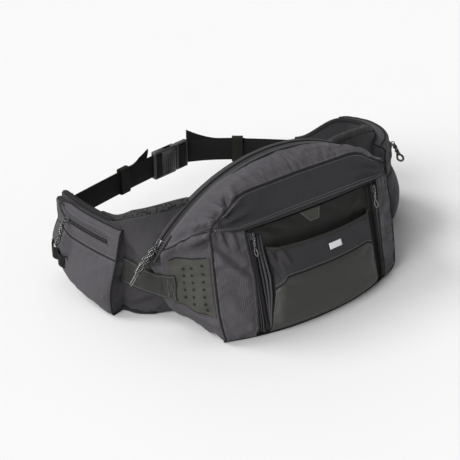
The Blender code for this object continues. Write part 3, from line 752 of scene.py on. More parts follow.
LOOKS = {
    "fabric": plain_fabric(), "dark_fabric_and_shade": dark_fabric_and_shade(), "ribbed": ribbed_fabric(),
    "coated": coated_fabric(), "laminate": laminate(), "elastic": elastic(), "webbing": webbing(),
    "mesh": spacer_mesh(),
    "tape": zip_tape(), "coil": smooth_plastic("zip_coil", (0.022, 0.022, 0.023), 0.25, 0.45),
    "plastic": smooth_plastic("moulded_acetal", (0.045, 0.045, 0.044), 0.28, 0.45),
    "keeper": webbing("keeper_elastic", (0.013, 0.012, 0.009)),
    "metal": metal(), "cord": cord(), "film": pale_film(),
    "piping": webbing("corded_piping", (0.020, 0.019, 0.020)),
    "thread": smooth_plastic("thread", (0.20, 0.19, 0.20), 0.5, 0.8),
    # Punched holes are near-black: painted shade inside them.
    "hole": smooth_plastic("punched_hole", (0.006, 0.006, 0.006), 0.7, 0.9),
    # A near-black sheet colour: painted shade down the gaps beside the front panel.
    "gap_shade_cloth": smooth_plastic("painted_gap_shade", (0.008, 0.008, 0.008), 0.7, 0.9),
    "liner": liner_cloth(),
    "foam": hidden_sheet("pad_foam", (0.12, 0.12, 0.12)),
    "board": hidden_sheet("frame_board", (0.03, 0.03, 0.03)),
    "lining": hidden_sheet("organiser_cloth", (0.06, 0.06, 0.06)),
}


def put(obj, body, slot, *nodes):
    """Gives a piece its body and hides the CAD nodes it stands for; slot is not used."""
    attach(obj, body)
    if nodes:
        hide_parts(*nodes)
    return obj


def bridge(obj, a, b, start, end, slot, *nodes):
    """A piece of fabric between two bodies: bakes its transform into its mesh and hides the CAD nodes it
    stands for. a, b, start and end are not used.
    """
    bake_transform(obj)
    if nodes:
        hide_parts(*nodes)
    return obj


# ---------------------------------------------------------------- the pouch's own curves

def arch_point(degrees, radius=ARCH_RADIUS):
    """x and z on the main zip's arc, by the angle from its crown."""
    a = math.radians(degrees)
    return (radius * math.sin(a), ARCH_CENTRE_Z + radius * math.cos(a))


ARCH_ANGLES = (ARCH_END, 44.0, 34.0, 23.0, 11.5, 0.0)
ARCH_INDEXES = (5, 6, 7, 8, 9, 10)


def zip_outline():
    """Half of the pouch's outline at the main zip, from the middle of the base to the crown."""
    lower = [(0.0, 0.0), (BASE_HALF, 0.0), (168.0, 7.0), (189.0, 38.0), (201.0, 80.0)]
    return lower + [arch_point(a) for a in ARCH_ANGLES]


def front_outline():
    """Half of the pouch's outline at its front seam, with one point for each of the zip outline's."""
    return [
        (0.0, 0.0), (138.0, 0.0), (154.0, 8.0), (160.0, 38.0), (160.0, 90.0), (158.0, 140.0),
        (FRONT_HALF, 168.0), (128.0, 185.0), (100.0, FRONT_TOP), (50.0, 202.0), (0.0, 203.0),
    ]


def front_y(x, z, inward=0.0):
    """The front surface: it leans forward down to the bulge, rolls under it, and wraps back at the sides."""
    upper = clamp((FRONT_TOP - z) / (FRONT_TOP - BULGE_Z))
    y = mix(FRONT_TOP_Y, FRONT_BULGE_Y, upper)
    if z < BULGE_Z:
        y = mix(FRONT_BULGE_Y, FRONT_BASE_Y, ((BULGE_Z - z) / BULGE_Z) ** 2)
    return y + FRONT_WRAP * upper * (abs(x) / FRONT_HALF) ** 2.2 + inward


def front_point(x, z, inward=0.0):
    return (x, front_y(x, z, inward), z)


RING_HALF = 220
OUTLINE_STEPS = 12
BACK_TUCK = 5.0
FLOOR_GAP = 0.3


def ring_stations():
    """Right half of each outline, from back to front, each with the same RING_HALF + 1 points."""
    at_zip = spline(zip_outline(), OUTLINE_STEPS)
    at_front = spline(front_outline(), OUTLINE_STEPS)
    travel = (lengths(at_zip) + lengths(at_front)) / 2
    wanted = np.linspace(0.0, travel[-1], RING_HALF + 1)

    def resampled(curve):
        return np.stack([np.interp(wanted, travel, curve[:, k]) for k in (0, 1)], axis=1)

    at_zip, at_front = resampled(at_zip), resampled(at_front)
    index = np.interp(wanted, travel, np.arange(len(travel)) / OUTLINE_STEPS)
    wide = at_zip[:, 0].max()
    tall = at_zip[:, 1].max()
    at_back = at_zip * ((wide - BACK_TUCK) / wide, (tall - 2 * BACK_TUCK) / tall) + (0.0, BACK_TUCK)
    crown = np.clip((index - 5.5) / 1.5, 0, 1) * 4.0
    at_middle = (at_zip + at_front) / 2 + np.stack([2.0 * np.sin(np.pi * index / 10), crown], axis=1)
    stations = []
    for curve, y in ((at_back, BACK_Y), (at_zip, ZIP_Y), (at_middle, MIDDLE_Y)):
        z = np.maximum(curve[:, 1], FLOOR_GAP)
        stations.append(np.stack([curve[:, 0], np.full(len(curve), y), z], axis=1))
    stations.append(np.array([front_point(x, max(z, FLOOR_GAP)) for x, z in at_front]))
    return stations, index


def pouch_ring():
    """The pouch's side wall as a closed band of cloth, from its back edge to its front seam."""
    stations, index = ring_stations()
    full = []
    for half in stations:
        mirrored = half[-2:0:-1] * (-1.0, 1.0, 1.0)
        full.append(np.concatenate([half, mirrored]))
    full = np.array(full)
    levels = [0.0]
    for first, steps in ((0.0, 3), (1.0, 9), (2.0, 14)):
        levels += list(np.linspace(first, first + 1.0, steps + 1))[1:]
    rows = []
    for t in levels:
        k = min(int(t), 2)
        f = t - k
        b, c = full[k], full[k + 1]
        a = full[k - 1] if k > 0 else 2 * b - c
        d = full[k + 2] if k < 2 else 2 * c - b
        rows.append(curve_between(a, b, c, d, f))
    sheet = Sheet(np.array(rows), wrap=True)
    return sheet, index, np.array(levels)


RING, RING_INDEX, RING_LEVELS = pouch_ring()


def ring_u(index, side=1):
    """Where on the pouch's band an outline point lies; side is +1 for the right, -1 for the left."""
    share = float(np.interp(index, RING_INDEX, np.arange(RING_HALF + 1))) / (2 * RING_HALF)
    return share if side > 0 else 1.0 - share


def ring_v(level):
    """Where on the band a level lies: 0 at the back, 1 at the zip, 2 in the middle, 3 at the front seam."""
    return float(np.interp(level, RING_LEVELS, np.arange(len(RING_LEVELS)))) / (len(RING_LEVELS) - 1)


def arch_u(degrees):
    """Where on the band a point of the main zip lies, by its angle from the crown."""
    index = float(np.interp(-abs(degrees), [-a for a in ARCH_ANGLES], ARCH_INDEXES))
    return ring_u(index, 1 if degrees >= 0 else -1)


def shape_pouch_ring(sheet):
    """Blows the band out between its seams, then lays in its creases."""
    columns = sheet.points.shape[1]
    held = border(sheet, columns=False)
    arch_first = int(arch_u(ARCH_END) * columns)
    arch_last = columns - arch_first
    for j, level in enumerate(RING_LEVELS):
        if 0.6 < level < 1.35:
            held[j, arch_first - 2:arch_last + 3] = 1.0
        if level <= 1.0:
            held[j] = 1.0
    held[sheet.points[..., 2] < 2.0] = 1.0
    for side in (1, -1):
        seam = int(ring_u(5.6, side) * columns)
        held[:, seam] = np.maximum(held[:, seam], 0.7)
        foot = int(ring_u(2.35, side) * columns)
        held[:, foot] = np.maximum(held[:, foot], 0.5)
    sheet = drape(sheet, held, 6.0, 0.035, 7.0)
    shaped = sheet.folded(pouch_creases(), (1.0, 1.0, 0.2, 0.03), (3, 34.0, 0.35))
    shaped.points[..., 2] = np.maximum(shaped.points[..., 2], FLOOR_GAP)
    return shaped


def pouch_creases():
    """Folds that fan out from the front corners, the feet and the hips, deeper on the left."""
    strokes = []
    for side in (1, -1):
        far = -side
        scale = 1.0 if side < 0 else 0.55
        for k, reach in enumerate((0.52, 0.70, 0.40, 0.78, 0.46, 0.66, 0.36, 0.50)):
            at = ring_u(5.40 + 0.30 * k, side)
            depth, width = (8.0, 6.0) if k % 2 else (-9.0, 4.4)
            strokes.append(((at, 1.0), (at - far * 0.007 * (k - 3.5), 1.0 - reach), width, scale * depth))
        foot = ring_u(2.4, side)
        for k, (reach, depth) in enumerate(((0.62, 3.0), (0.42, -2.6), (0.70, 2.6), (0.36, -2.2))):
            at = foot + far * (0.010 * k - 0.012)
            strokes.append(((at, 0.98), (at + far * (0.006 * k - 0.006), 0.98 - reach), 5.0, scale * depth))
        hip = ring_u(5.15, side)
        strokes.append(((hip, 0.26), (hip - far * 0.016, 0.95), 5.0, 2.4))
        strokes.append(((hip - far * 0.008, 0.24), (hip - far * 0.034, 0.70), 4.0, -2.2))
        strokes.append(((hip - far * 0.030, 0.26), (hip - far * 0.040, 0.85), 5.0, 2.0))
    return strokes


# ---------------------------------------------------------------- sewing

def between(s, at, values):
    """The vector at distance s among values given at distances at."""
    return np.array([np.interp(s, at, values[:, k]) for k in range(3)])


def stitch_line(bag, points, normals, pitch=3.6, share=0.66, radius=0.42, lift=0.2):
    """A row of stitches along a path."""
    fine = max(int(lengths(points)[-1] / pitch * 4), 8)
    path = even(np.asarray(points) + np.asarray(normals) * lift, fine)
    at = lengths(path)
    count = int(at[-1] / pitch)
    for k in range(count):
        ends = (k * pitch, (k + share) * pitch)
        stitch = [between(s, at, path) for s in np.linspace(*ends, 3)]
        bag.tube(stitch, [radius * 0.6, radius, radius * 0.6], sides=5)


COIL_PITCH = 1.7
COIL_THICK = 0.55


def coil(bag, points, normals, half_width=2.1):
    """Zip coil: small bars across the path, leaning one way and the other."""
    path = np.asarray(points, float)
    at = lengths(path)
    normals = np.asarray(normals, float)
    for k in range(int(at[-1] / COIL_PITCH)):
        s = (k + 0.5) * COIL_PITCH
        normal = unit(between(s, at, normals))
        along = unit(between(s + 0.5, at, path) - between(s - 0.5, at, path))
        side = unit(np.cross(along, normal))
        lean = along * (0.35 if k % 2 else -0.35)
        bar = []
        for x in (-1, -0.4, 0.4, 1):
            raised = normal * (COIL_THICK * (1.0 - abs(x) * 0.5))
            bar.append(between(s, at, path) + side * x * half_width + lean * x + raised)
        bag.tube(bar, [COIL_THICK * 0.8, COIL_THICK, COIL_THICK, COIL_THICK * 0.8], sides=6)


def tape(name, points, normals, half_width, look, thick=0.5, lift=0.2):
    """A flat strip along a path."""
    along = tangents(points)
    normals = np.asarray(normals)
    across = unit(np.cross(along, normals))
    return strap(name, np.asarray(points) + normals * lift, across, normals, half_width, thick, look)


def along_sheet(sheet, start, end, count=40, lift=0.0):
    """Points and normals along a straight run in (u, v)."""
    places = [(mix(start[0], end[0], t), mix(start[1], end[1], t)) for t in np.linspace(0, 1, count)]
    return sheet.path(places, lift)


# ---------------------------------------------------------------- pouch

def make_pouch():
    ring = shape_pouch_ring(RING)
    put(ring.make("pouch_wall", LOOKS["fabric"], 1.2), "pouch", "pack_fabric", "main_shell")
    make_front_piping(ring)
    make_side_trim(ring)
    make_main_zip(ring)
    return ring


def make_front_piping(ring):
    """The corded seam between the wall and the front, all the way round."""
    path, _ = ring.path([(u, 1.0) for u in np.linspace(0, 1, 2 * RING_HALF, endpoint=False)], 0.2)
    path[:, 2] = np.maximum(path[:, 2], 1.6)
    piping = tube("front_seam_piping", path, 1.4, LOOKS["piping"], closed=True)
    put(piping, "pouch", "pack_fabric")
    stitches = Bag()
    for side in (1, -1):
        places = [(ring_u(i, side), ring_v(2.9)) for i in np.linspace(5.0, 10.0, 90)]
        stitch_line(stitches, *ring.path(places))
    put(stitches.make("wall_stitching", LOOKS["thread"]), "pouch", "pack_fabric")


def sub_sheet(sheet, us, vs, lift):
    """A finer sheet cut from part of another, lifted off it."""
    grid = []
    for v in vs:
        points, _ = sheet.path([(u, v) for u in us], lift)
        grid.append(points)
    return Sheet(np.array(grid), out=sheet.out)


HOLE_COLUMNS = ((0.30, 5), (0.56, 6), (0.82, 7))
HOLE_PITCH = 11.5


def make_side_trim(ring):
    """The perforated side panels with their punched holes, and the seams above them."""
    for side, word in ((-1, "left"), (1, "right")):
        u_low, u_high = ring_u(3.05, side), ring_u(4.75, side)
        v_near, v_far = ring_v(1.68), ring_v(2.92)
        us = np.linspace(min(u_low, u_high), max(u_low, u_high), 40)
        panel = sub_sheet(ring, us, np.linspace(v_near, v_far, 26), 0.7)
        put(panel.make(f"perforated_side_{word}", LOOKS["laminate"], 0.9, 1), "pouch", "laminate",
            f"perforated_panel_{word}")
        holes, rims = Bag(), Bag()
        for share, count in HOLE_COLUMNS:
            v = mix(v_near, v_far, share)
            run, _ = ring.path([(u, v) for u in np.linspace(u_low, u_high, 30)])
            tall = lengths(run)[-1]
            for k in range(count):
                along = 0.5 + (k - (count - 1) / 2) * HOLE_PITCH / tall
                disc(holes, rims, panel, along if u_low < u_high else 1.0 - along, share, 2.1, 0.7)
        put(holes.make(f"punched_holes_{word}", LOOKS["hole"]), "pouch", "laminate")
        put(rims.make(f"hole_rims_{word}", LOOKS["laminate"]), "pouch", "laminate")
        trim = Bag()
        stitches = Bag()
        edge = [(u_high, v) for v in np.linspace(v_near, v_far, 30)]
        upper = [(mix(ring_u(5.25, side), ring_u(5.95, side), smooth(t)), mix(ring_v(1.2), 1.0, t))
                 for t in np.linspace(0, 1, 40)]
        for places in (edge, upper):
            points, _ = ring.path(places, 0.5)
            trim.tube(spline(points[::3], 4), 0.85, sides=6, taper=2.0)
        stitch_line(stitches, *ring.path([(u + side * 0.006, v) for u, v in upper]))
        foot = [(u_low, v) for v in np.linspace(v_near, v_far, 30)]
        points, _ = ring.path(foot, 0.4)
        trim.tube(spline(points[::3], 4), 0.7, sides=6, taper=2.0)
        put(trim.make(f"side_seams_{word}", LOOKS["piping"]), "pouch", "pack_fabric")
        put(stitches.make(f"side_stitching_{word}", LOOKS["thread"]), "pouch", "pack_fabric")


def disc(holes, rims, sheet, u, v, radius, lift):
    """A punched hole: a dish coloured near-black as painted shade inside the hole, with a thin turned edge.
    """
    point, normal = sheet.path([(u, v)], lift)
    p, n = point[0], normal[0]
    a = unit(np.cross(n, (0.1, 0.2, 0.97)))
    b = np.cross(n, a)
    sides = 12
    turns = np.linspace(0, math.tau, sides, endpoint=False)
    around = [a * math.cos(t) + b * math.sin(t) for t in turns]
    mouth = [p + q * radius + n * 0.06 for q in around]
    foot = [p + q * radius * 0.8 - n * 0.45 for q in around]
    holes.add(mouth + foot, ring_faces(2, sides))
    rims.tube([p + q * radius + n * 0.1 for q in around], 0.22, sides=5, closed=True)


def make_main_zip(ring):
    """The arched zip: lips, tapes, coil and stitching, on the band's zip line."""
    degrees = np.linspace(-ARCH_END, ARCH_END, 150)
    normals = unit(np.array([(math.sin(math.radians(d)), 0.0, math.cos(math.radians(d))) for d in degrees]))
    centre = np.array([(arch_point(d)[0], ZIP_Y, arch_point(d)[1]) for d in degrees])
    tapes = tape("main_zip_tape", centre, normals, 9.6, LOOKS["tape"], 0.6, 0.2)
    put(tapes, "pouch", "zip_tape", "main_zip")
    teeth = Bag()
    coil(teeth, centre + normals * 0.2, normals)
    put(teeth.make("main_zip_coil", LOOKS["coil"]), "pouch", "zip_tape")
    lips, stitches = Bag(), Bag()
    for sign, word in ((-1.0, "front"), (1.0, "back")):
        aside = np.array((0.0, sign, 0.0))
        fold = centre + aside * 6.4 + normals * 1.1
        across = np.tile(aside, (len(centre), 1))
        lip = strap(f"main_zip_lip_{word}", fold, across, normals, 3.0, 1.5, LOOKS["dark_fabric_and_shade"])
        put(lip, "pouch", "pack_fabric")
        lips.tube(centre + normals * 0.8 + aside * 10.2, 1.3, sides=8, taper=2.0)
        stitch_line(stitches, centre + aside * 7.6, normals, lift=1.9)
    stitch_line(stitches, *ring.path([(arch_u(d), ring_v(1.36)) for d in degrees]))
    stitch_line(stitches, *ring.path([(arch_u(d), ring_v(1.48)) for d in degrees]))
    put(lips.make("main_zip_lips", LOOKS["piping"]), "pouch", "pack_fabric")
    put(stitches.make("main_zip_stitching", LOOKS["thread"]), "pouch", "pack_fabric")
    make_zip_ends(ring)


def make_zip_ends(ring):
    """A raised patch of fabric over each end of the main zip."""
    for side, word in ((-1, "left"), (1, "right")):
        ends = sorted((ring_u(4.62, side), ring_u(5.0, side)))
        patch = sub_sheet(ring, np.linspace(*ends, 12), np.linspace(ring_v(0.62), ring_v(1.42), 12), 0.6)

        def raised(u, v, _point):
            over = u if side > 0 else 1.0 - u
            return 2.8 * smooth((over - 0.25) / 0.6) * smooth(v * 5) * smooth((1 - v) * 5)

        patch = patch.moved(raised)
        put(patch.make(f"zip_end_{word}", LOOKS["dark_fabric_and_shade"], 0.8, 1), "pouch", "pack_fabric")


# ---------------------------------------------------------------- the pouch's front

def front_sheet(left, right, bottom, top, columns, rows, depth=0.0):
    """A sheet on the front surface between two functions of the height share and two of the width share."""

    def point(u, v):
        x = mix(left(v), right(v), u)
        z = mix(bottom(u), top(u), v)
        return front_point(x, z, depth(u, v) if callable(depth) else depth)

    return Sheet.of(point, columns, rows)


def level(value):
    """An edge that stays at one value."""
    return lambda _: value


def outline_x(z):
    """How far from the middle the front seam lies at a height."""
    outline = spline(front_outline(), 8)
    side = outline[: 6 * 8 + 1]
    return float(np.interp(z, side[:, 1], side[:, 0]))


def outline_z(x):
    """Height of the front seam over a point."""
    outline = spline(front_outline(), 8)[6 * 8:][::-1]
    return float(np.interp(abs(x), outline[:, 0], outline[:, 1]))


HEM_LOW = HEM_Z - 3.0
LANE_LEFT = PANEL_LEFT - 1.0
LANE_RIGHT = PANEL_RIGHT + 1.0


def hem_z(x):
    """The hem turns up towards the left corner."""
    return HEM_LOW + 11.0 * smooth((-x - 112.0) / 40.0)


def lane_outer_left(z):
    """Outer edge of the left zip's lane: it swings out at the top and round the foot."""
    return TRACK_LEFT + float(np.interp(z, (8.0, 50.0, 85.0, 150.0), (-14.0, -8.5, -5.0, -8.0)))


def lane_outer_right(z):
    """Outer edge of the right zip's lane."""
    return TRACK_RIGHT + 4.5 + 5.0 * smooth((z - 40.0) / 110.0)


def make_front():
    make_front_top()
    make_gussets()
    make_lanes()
    # A near-black sheet behind the front panel, seen only down the gaps beside it: painted shade in those
    # gaps.
    lining = front_sheet(level(PANEL_LEFT - 4), level(PANEL_RIGHT + 4), level(4.0), level(HEM_Z + 6), 40, 30,
                         lambda u, v: 2.5 + 8.0 * (1 - (2 * u - 1) ** 10) * (1 - (2 * v - 1) ** 12))
    put(lining.make("front_gap_shade_sheet", LOOKS["gap_shade_cloth"], 0.8, 0), "pouch", "coated_fabric")


def make_front_top():
    """The panel above the hem: taut cloth that dips a little between its seams."""
    half = FRONT_HALF
    sheet = front_sheet(level(-half), level(half), lambda u: hem_z(mix(-half, half, u)),
                        lambda u: outline_z(mix(-half, half, u)), 96, 20)
    sheet = drape(sheet, border(sheet), 3.0, 0.002, 4.0)

    strokes = []
    for side in (-1, 1):
        scale = 1.0 if side < 0 else 0.5

        def across(share):
            return share if side < 0 else 1.0 - share

        fan = ((0.36, 0.16), (0.22, 0.34), (0.30, 0.62), (0.16, 0.80), (0.20, 1.00))
        for k, (reach, rise) in enumerate(fan):
            depth, width = (-7.0, 4.0) if k % 2 else (6.5, 5.6)
            start = (across(0.010 + 0.016 * k), 0.04 + 0.20 * k)
            strokes.append((start, (across(reach), rise), width, scale * depth))
    strokes.append(((0.30, 0.16), (0.92, 0.12), 4.0, 0.8))
    sheet = sheet.folded(strokes, (0.02, 0.02, 0.10, 0.06), (1, 14.0, 0.3))
    put(sheet.make("front_top_panel", LOOKS["dark_fabric_and_shade"], 1.0), "pouch", "pack_fabric", "top_front_panel")
    hem, stitches = Bag(), Bag()
    points, normals = along_sheet(sheet, (0.0, 0.0), (1.0, 0.0), 80)
    hem.tube(points + normals * 0.1, 1.5, sides=8, flat=0.7, up=normals, taper=3.0)
    for v in (0.10, 0.17):
        stitch_line(stitches, *along_sheet(sheet, (0.01, v), (0.99, v), 90))
    stitch_line(stitches, *along_sheet(sheet, (0.06, 0.93), (0.94, 0.93), 90))
    put(hem.make("hem_fold", LOOKS["dark_fabric_and_shade"]), "pouch", "pack_fabric")
    put(stitches.make("front_top_stitching", LOOKS["thread"]), "pouch", "pack_fabric")


GUSSET_FOLDS = (
    ((0.20, 1.00), (0.22, 0.83), 2.4, -3.6), ((0.32, 1.00), (0.34, 0.86), 2.2, 2.6),
    ((0.45, 1.00), (0.49, 0.80), 2.6, -4.2), ((0.60, 1.00), (0.63, 0.86), 2.2, 3.0),
    ((0.74, 1.00), (0.80, 0.80), 2.6, -3.6),
    ((0.22, 0.84), (0.92, 0.60), 5.0, -4.2), ((0.25, 0.73), (0.95, 0.50), 6.0, 4.2),
    ((0.30, 0.50), (0.90, 0.34), 7.0, -1.8), ((0.45, 0.30), (0.85, 0.10), 6.0, 1.6),
)


def make_gussets():
    """The ribbed panels at both sides of the front, puckered under the hem."""
    sides = {
        "left": (lambda z: -outline_x(z), lane_outer_left),
        "right": (lane_outer_right, outline_x),
    }
    for word, (left, right) in sides.items():
        bottom, top = 1.5, HEM_LOW - 0.5

        def point(u, v):
            z = mix(bottom, top, v)
            x = mix(left(z), right(z), u)
            return front_point(x, mix(bottom, hem_z(x) - 0.5, v))

        sheet = Sheet.of(point, 26, 60)
        sheet = drape(sheet, border(sheet), 5.0, 0.05, 6.0)
        scale = 1.0 if word == "left" else 0.6
        strokes = []
        for start, end, width, depth in GUSSET_FOLDS:
            if word == "right":
                start, end = (1.0 - start[0], start[1]), (1.0 - end[0], end[1])
            strokes.append((start, end, width, depth * scale))
        sheet = sheet.folded(strokes, (0.10, 0.10, 0.06, 0.015), (5, 8.0, 0.4))
        piece = sheet.make(f"gusset_{word}", LOOKS["ribbed"], 1.0)
        put(piece, "pouch", "pack_fabric", f"ribbed_gusset_{word}")
        lane_edge = 1.0 if word == "left" else 0.0
        trim, stitches = Bag(), Bag()
        points, _ = along_sheet(sheet, (lane_edge, 0.02), (lane_edge, 1.0), 60, 0.3)
        trim.tube(points, 1.0, sides=6, taper=2.0)
        for share in (0.09, 0.94):
            inner = mix(lane_edge, 1.0 - lane_edge, share)
            stitch_line(stitches, *along_sheet(sheet, (inner, 0.02), (inner, 0.99), 60))
        put(trim.make(f"lane_piping_{word}", LOOKS["piping"]), "pouch", "pack_fabric")
        put(stitches.make(f"gusset_stitching_{word}", LOOKS["thread"]), "pouch", "pack_fabric")


def make_lanes():
    """The two lanes beside the front panel: a recessed flap, tape and coil, with a turned lip."""
    lanes = {
        "left": (lane_outer_left, level(LANE_LEFT), TRACK_LEFT, 1.0),
        "right": (level(LANE_RIGHT), lane_outer_right, TRACK_RIGHT, -1.0),
    }
    for word, (left, right, track, toward) in lanes.items():
        bottom, top = 3.0, HEM_LOW

        def point(u, v):
            z = mix(bottom, top, v)
            x = mix(left(z), right(z), u)
            return front_point(x, mix(bottom, hem_z(x), v), 1.6 + 1.4 * math.sin(math.pi * u))

        sheet = Sheet.of(point, 8, 40)
        put(sheet.make(f"zip_lane_{word}", LOOKS["tape"], 0.8, 1), "pouch", "zip_tape", f"front_zip_{word}")
        heights = np.linspace(12.0, HEM_LOW - 2.0, 60)
        centre = np.array([front_point(track, z, 0.9) for z in heights])
        normal = np.array([(0.0, -0.95, 0.31)] * len(heights))
        teeth = Bag()
        coil(teeth, centre, normal)
        put(teeth.make(f"front_coil_{word}", LOOKS["coil"]), "pouch", "zip_tape")
        trim = Bag()
        outer = lane_outer_left if word == "left" else lane_outer_right
        for share, radius in ((0.35, 0.7), (0.7, 0.8)):
            path = [front_point(mix(outer(z), track - toward * 2.5, share), z, 0.7) for z in heights]
            if word == "left":
                path = [front_point(track - 1.0, 5.5, 0.6), front_point(track - 3.0, 8.0, 0.6)] + path
            trim.tube(spline(path[::3], 4), radius, sides=6, taper=2.0)
        # The lips take the lighter woven fabric instead of the zip tape they belong to: a painted highlight
        # along their ridges.
        put(trim.make(f"lane_lips_{word}", LOOKS["fabric"]), "pouch", "zip_tape")


# ---------------------------------------------------------------- front panel

def stash_depth(u, z):
    """How far the stash pocket lies behind the front surface; negative stands proud."""
    side = smooth(min(u, 1.0 - u) / 0.07)
    foot = smooth((z - 2.0) / 22.0)
    edge = mix(1.2, 3.4, foot)
    return mix(edge, -4.5 - 1.5 * math.sin(math.pi * u), side * foot)


def stash_left(z):
    """The stash pocket's left edge stands in at mid height, where the pocket is pulled round its filling."""
    return STASH_LEFT + float(np.interp(z, (8.0, 30.0, 55.0, 80.0, 118.0), (-7.0, -1.0, 8.0, 12.0, 8.0)))


def stash_top(u):
    """Height of the stash pocket's mouth, which sags in the middle."""
    return mix(STASH_TOP_LEFT, STASH_TOP_RIGHT, u) - 3.0 * math.sin(math.pi * u)


def stash_seam(u):
    """The seam between the coated panel and the band: level, and dropping in a dart at both ends."""
    return 77.0 - 17.0 * clamp(1.0 - u / 0.09) ** 0.8 - 12.0 * clamp(1.0 - (1.0 - u) / 0.10)


def make_front_panel():
    """The panel that folds down, with the stash pocket sewn to it."""

    def stash_point(u, z):
        x = mix(stash_left(z), STASH_RIGHT, u)
        return front_point(x, z, stash_depth(u, z))

    lower = Sheet.of(lambda u, v: stash_point(u, mix(2.0, stash_seam(u), v)), 96, 30)
    band = Sheet.of(lambda u, v: stash_point(u, mix(stash_seam(u), stash_top(u), v)), 96, 18)
    lower = drape(lower, border(lower), 2.5, 0.002, 3.5)
    band = drape(band, border(band), 2.0, 0.001, 3.0)

    strokes = (
        ((0.015, 0.92), (0.09, 0.20), 3.6, 5.0), ((0.055, 0.95), (0.05, 0.10), 3.0, -4.6),
        ((0.10, 0.90), (0.15, 0.30), 3.6, 3.4), ((0.02, 0.50), (0.07, 0.05), 3.0, -4.0),
    )
    band = band.folded(strokes, (0.02, 0.05, 0.12, 0.12), (2, 10.0, 0.2))
    lower = lower.folded((((0.02, 0.97), (0.12, 0.55), 5.0, 1.6), ((0.95, 0.9), (0.90, 0.4), 6.0, 1.2)),
                         (0.03, 0.03, 0.1, 0.1), (6, 6.0, 0.25))
    put(lower.make("stash_lower", LOOKS["coated"], 1.0), "front_panel", "coated_fabric", "stash_lower_panel")
    put(band.make("stash_band", LOOKS["dark_fabric_and_shade"], 1.0), "front_panel", "pack_fabric", "stash_upper_band")
    make_liner()
    make_stash_trim(lower, band)
    make_bar(band)
    make_flap()


def make_stash_trim(lower, band):
    """The stash pocket's seams and stitches, and the elastic round its mouth."""
    trim, stitches = Bag(), Bag()
    points, normals = along_sheet(lower, (0.0, 1.0), (1.0, 1.0), 73)
    trim.tube(points + normals * 0.1, 0.8, sides=6, taper=2.0)
    stitch_line(stitches, *along_sheet(band, (0.01, 0.08), (0.99, 0.08), 73))
    for u, inner in ((0.0, 0.012), (1.0, 0.988)):
        for sheet, foot, count in ((lower, 0.02, 30), (band, 0.0, 12)):
            points, normals = along_sheet(sheet, (u, foot), (u, 1.0), count)
            trim.tube(points + normals * 0.3, 0.9, sides=6, taper=2.0)
        stitch_line(stitches, *along_sheet(lower, (inner, 0.04), (inner, 1.0), 40))
    put(trim.make("stash_seams", LOOKS["piping"]), "front_panel", "pack_fabric")
    put(stitches.make("stash_stitching", LOOKS["thread"]), "front_panel", "pack_fabric")
    points, normals = along_sheet(band, (0.0, 1.0), (1.0, 1.0), 73)
    up = np.array((0.0, 0.25, 0.97))
    across = np.tile(up, (len(points), 1))
    binding = strap("stash_mouth_binding", points + up * 0.8, across, normals, 2.2, 2.2, LOOKS["elastic"])
    put(binding, "front_panel", "elastic", "stash_binding")


def make_flap():
    """The cloth folded beside the stash pocket: three soft ridges that swing round with its edge."""
    heights = np.linspace(7.0, LINER_TOP - 4.0, 60)
    ridges = Bag()
    for share, radius in ((0.12, 1.3), (0.42, 1.7), (0.72, 1.7)):
        path = []
        for z in heights:
            x = mix(PANEL_LEFT + 1.0, stash_left(min(z, 118.0)) - 1.0, share)
            path.append(front_point(x, z, 4.2 - 1.4 * share))
        ridges.tube(spline(path[::3], 4), radius, sides=8, taper=6.0)
    # The ridges take the lighter woven fabric instead of the coated cloth they belong to: a painted highlight
    # on their crests.
    put(ridges.make("flap_ridges", LOOKS["fabric"]), "front_panel", "coated_fabric")


def make_liner():
    """The panel the stash pocket is sewn to, slack above the pocket's mouth."""
    left, right = PANEL_LEFT + 0.5, PANEL_RIGHT - 0.5

    def depth(u, v):
        z = mix(PANEL_BASE, LINER_TOP + 1.0, v)
        above = smooth((z - 120.0) / 14.0)
        rim = smooth(min(u, 1 - u) / 0.04)
        return mix(6.0, 5.4 - 2.2 * above * math.sin(math.pi * u) ** 0.5, rim)

    sheet = front_sheet(level(left), level(right), level(PANEL_BASE), level(LINER_TOP + 1.0), 80, 44, depth)

    strokes = (
        ((0.06, 0.97), (0.20, 0.80), 4.5, 2.6), ((0.12, 0.99), (0.30, 0.86), 4.0, -2.2),
        ((0.20, 0.98), (0.38, 0.88), 5.0, 1.8), ((0.80, 0.80), (0.95, 0.97), 5.0, 2.0),
        ((0.62, 0.96), (0.74, 0.84), 5.0, -1.4),
    )
    sheet = sheet.folded(strokes, (0.04, 0.04, 0.7, 0.08), (4, 12.0, 0.4))
    put(sheet.make("panel_liner", LOOKS["liner"], 1.0, 1), "front_panel", "coated_fabric", "front_liner")
    make_tab(sheet, left, right)


def make_tab(sheet, left, right):
    """The laminated tab on the liner, narrow below and wide at the hem."""
    foot = low("laminated_tab")[2]

    def tab_place(u, v):
        x = mix(mix(4.0, -12.0, v), mix(20.0, 26.0, v), u)
        z = mix(foot, LINER_TOP + 0.6, v)
        return (x - left) / (right - left), (z - PANEL_BASE) / (LINER_TOP + 1.0 - PANEL_BASE)

    grid = []
    for v in np.linspace(0, 1, 9):
        points, _ = sheet.path([tab_place(u, v) for u in np.linspace(0, 1, 13)], 1.1)
        grid.append(points)
    tab = Sheet(np.array(grid), out=sheet.out)
    put(tab.make("hem_tab", LOOKS["laminate"], 0.9, 0), "front_panel", "laminate", "laminated_tab")
    stitches = Bag()
    for start, end in (((0.08, 0.95), (0.08, 0.1)), ((0.08, 0.1), (0.92, 0.1)), ((0.92, 0.1), (0.92, 0.95))):
        stitch_line(stitches, *along_sheet(tab, start, end, 12))
    put(stitches.make("hem_tab_stitching", LOOKS["thread"]), "front_panel", "laminate")


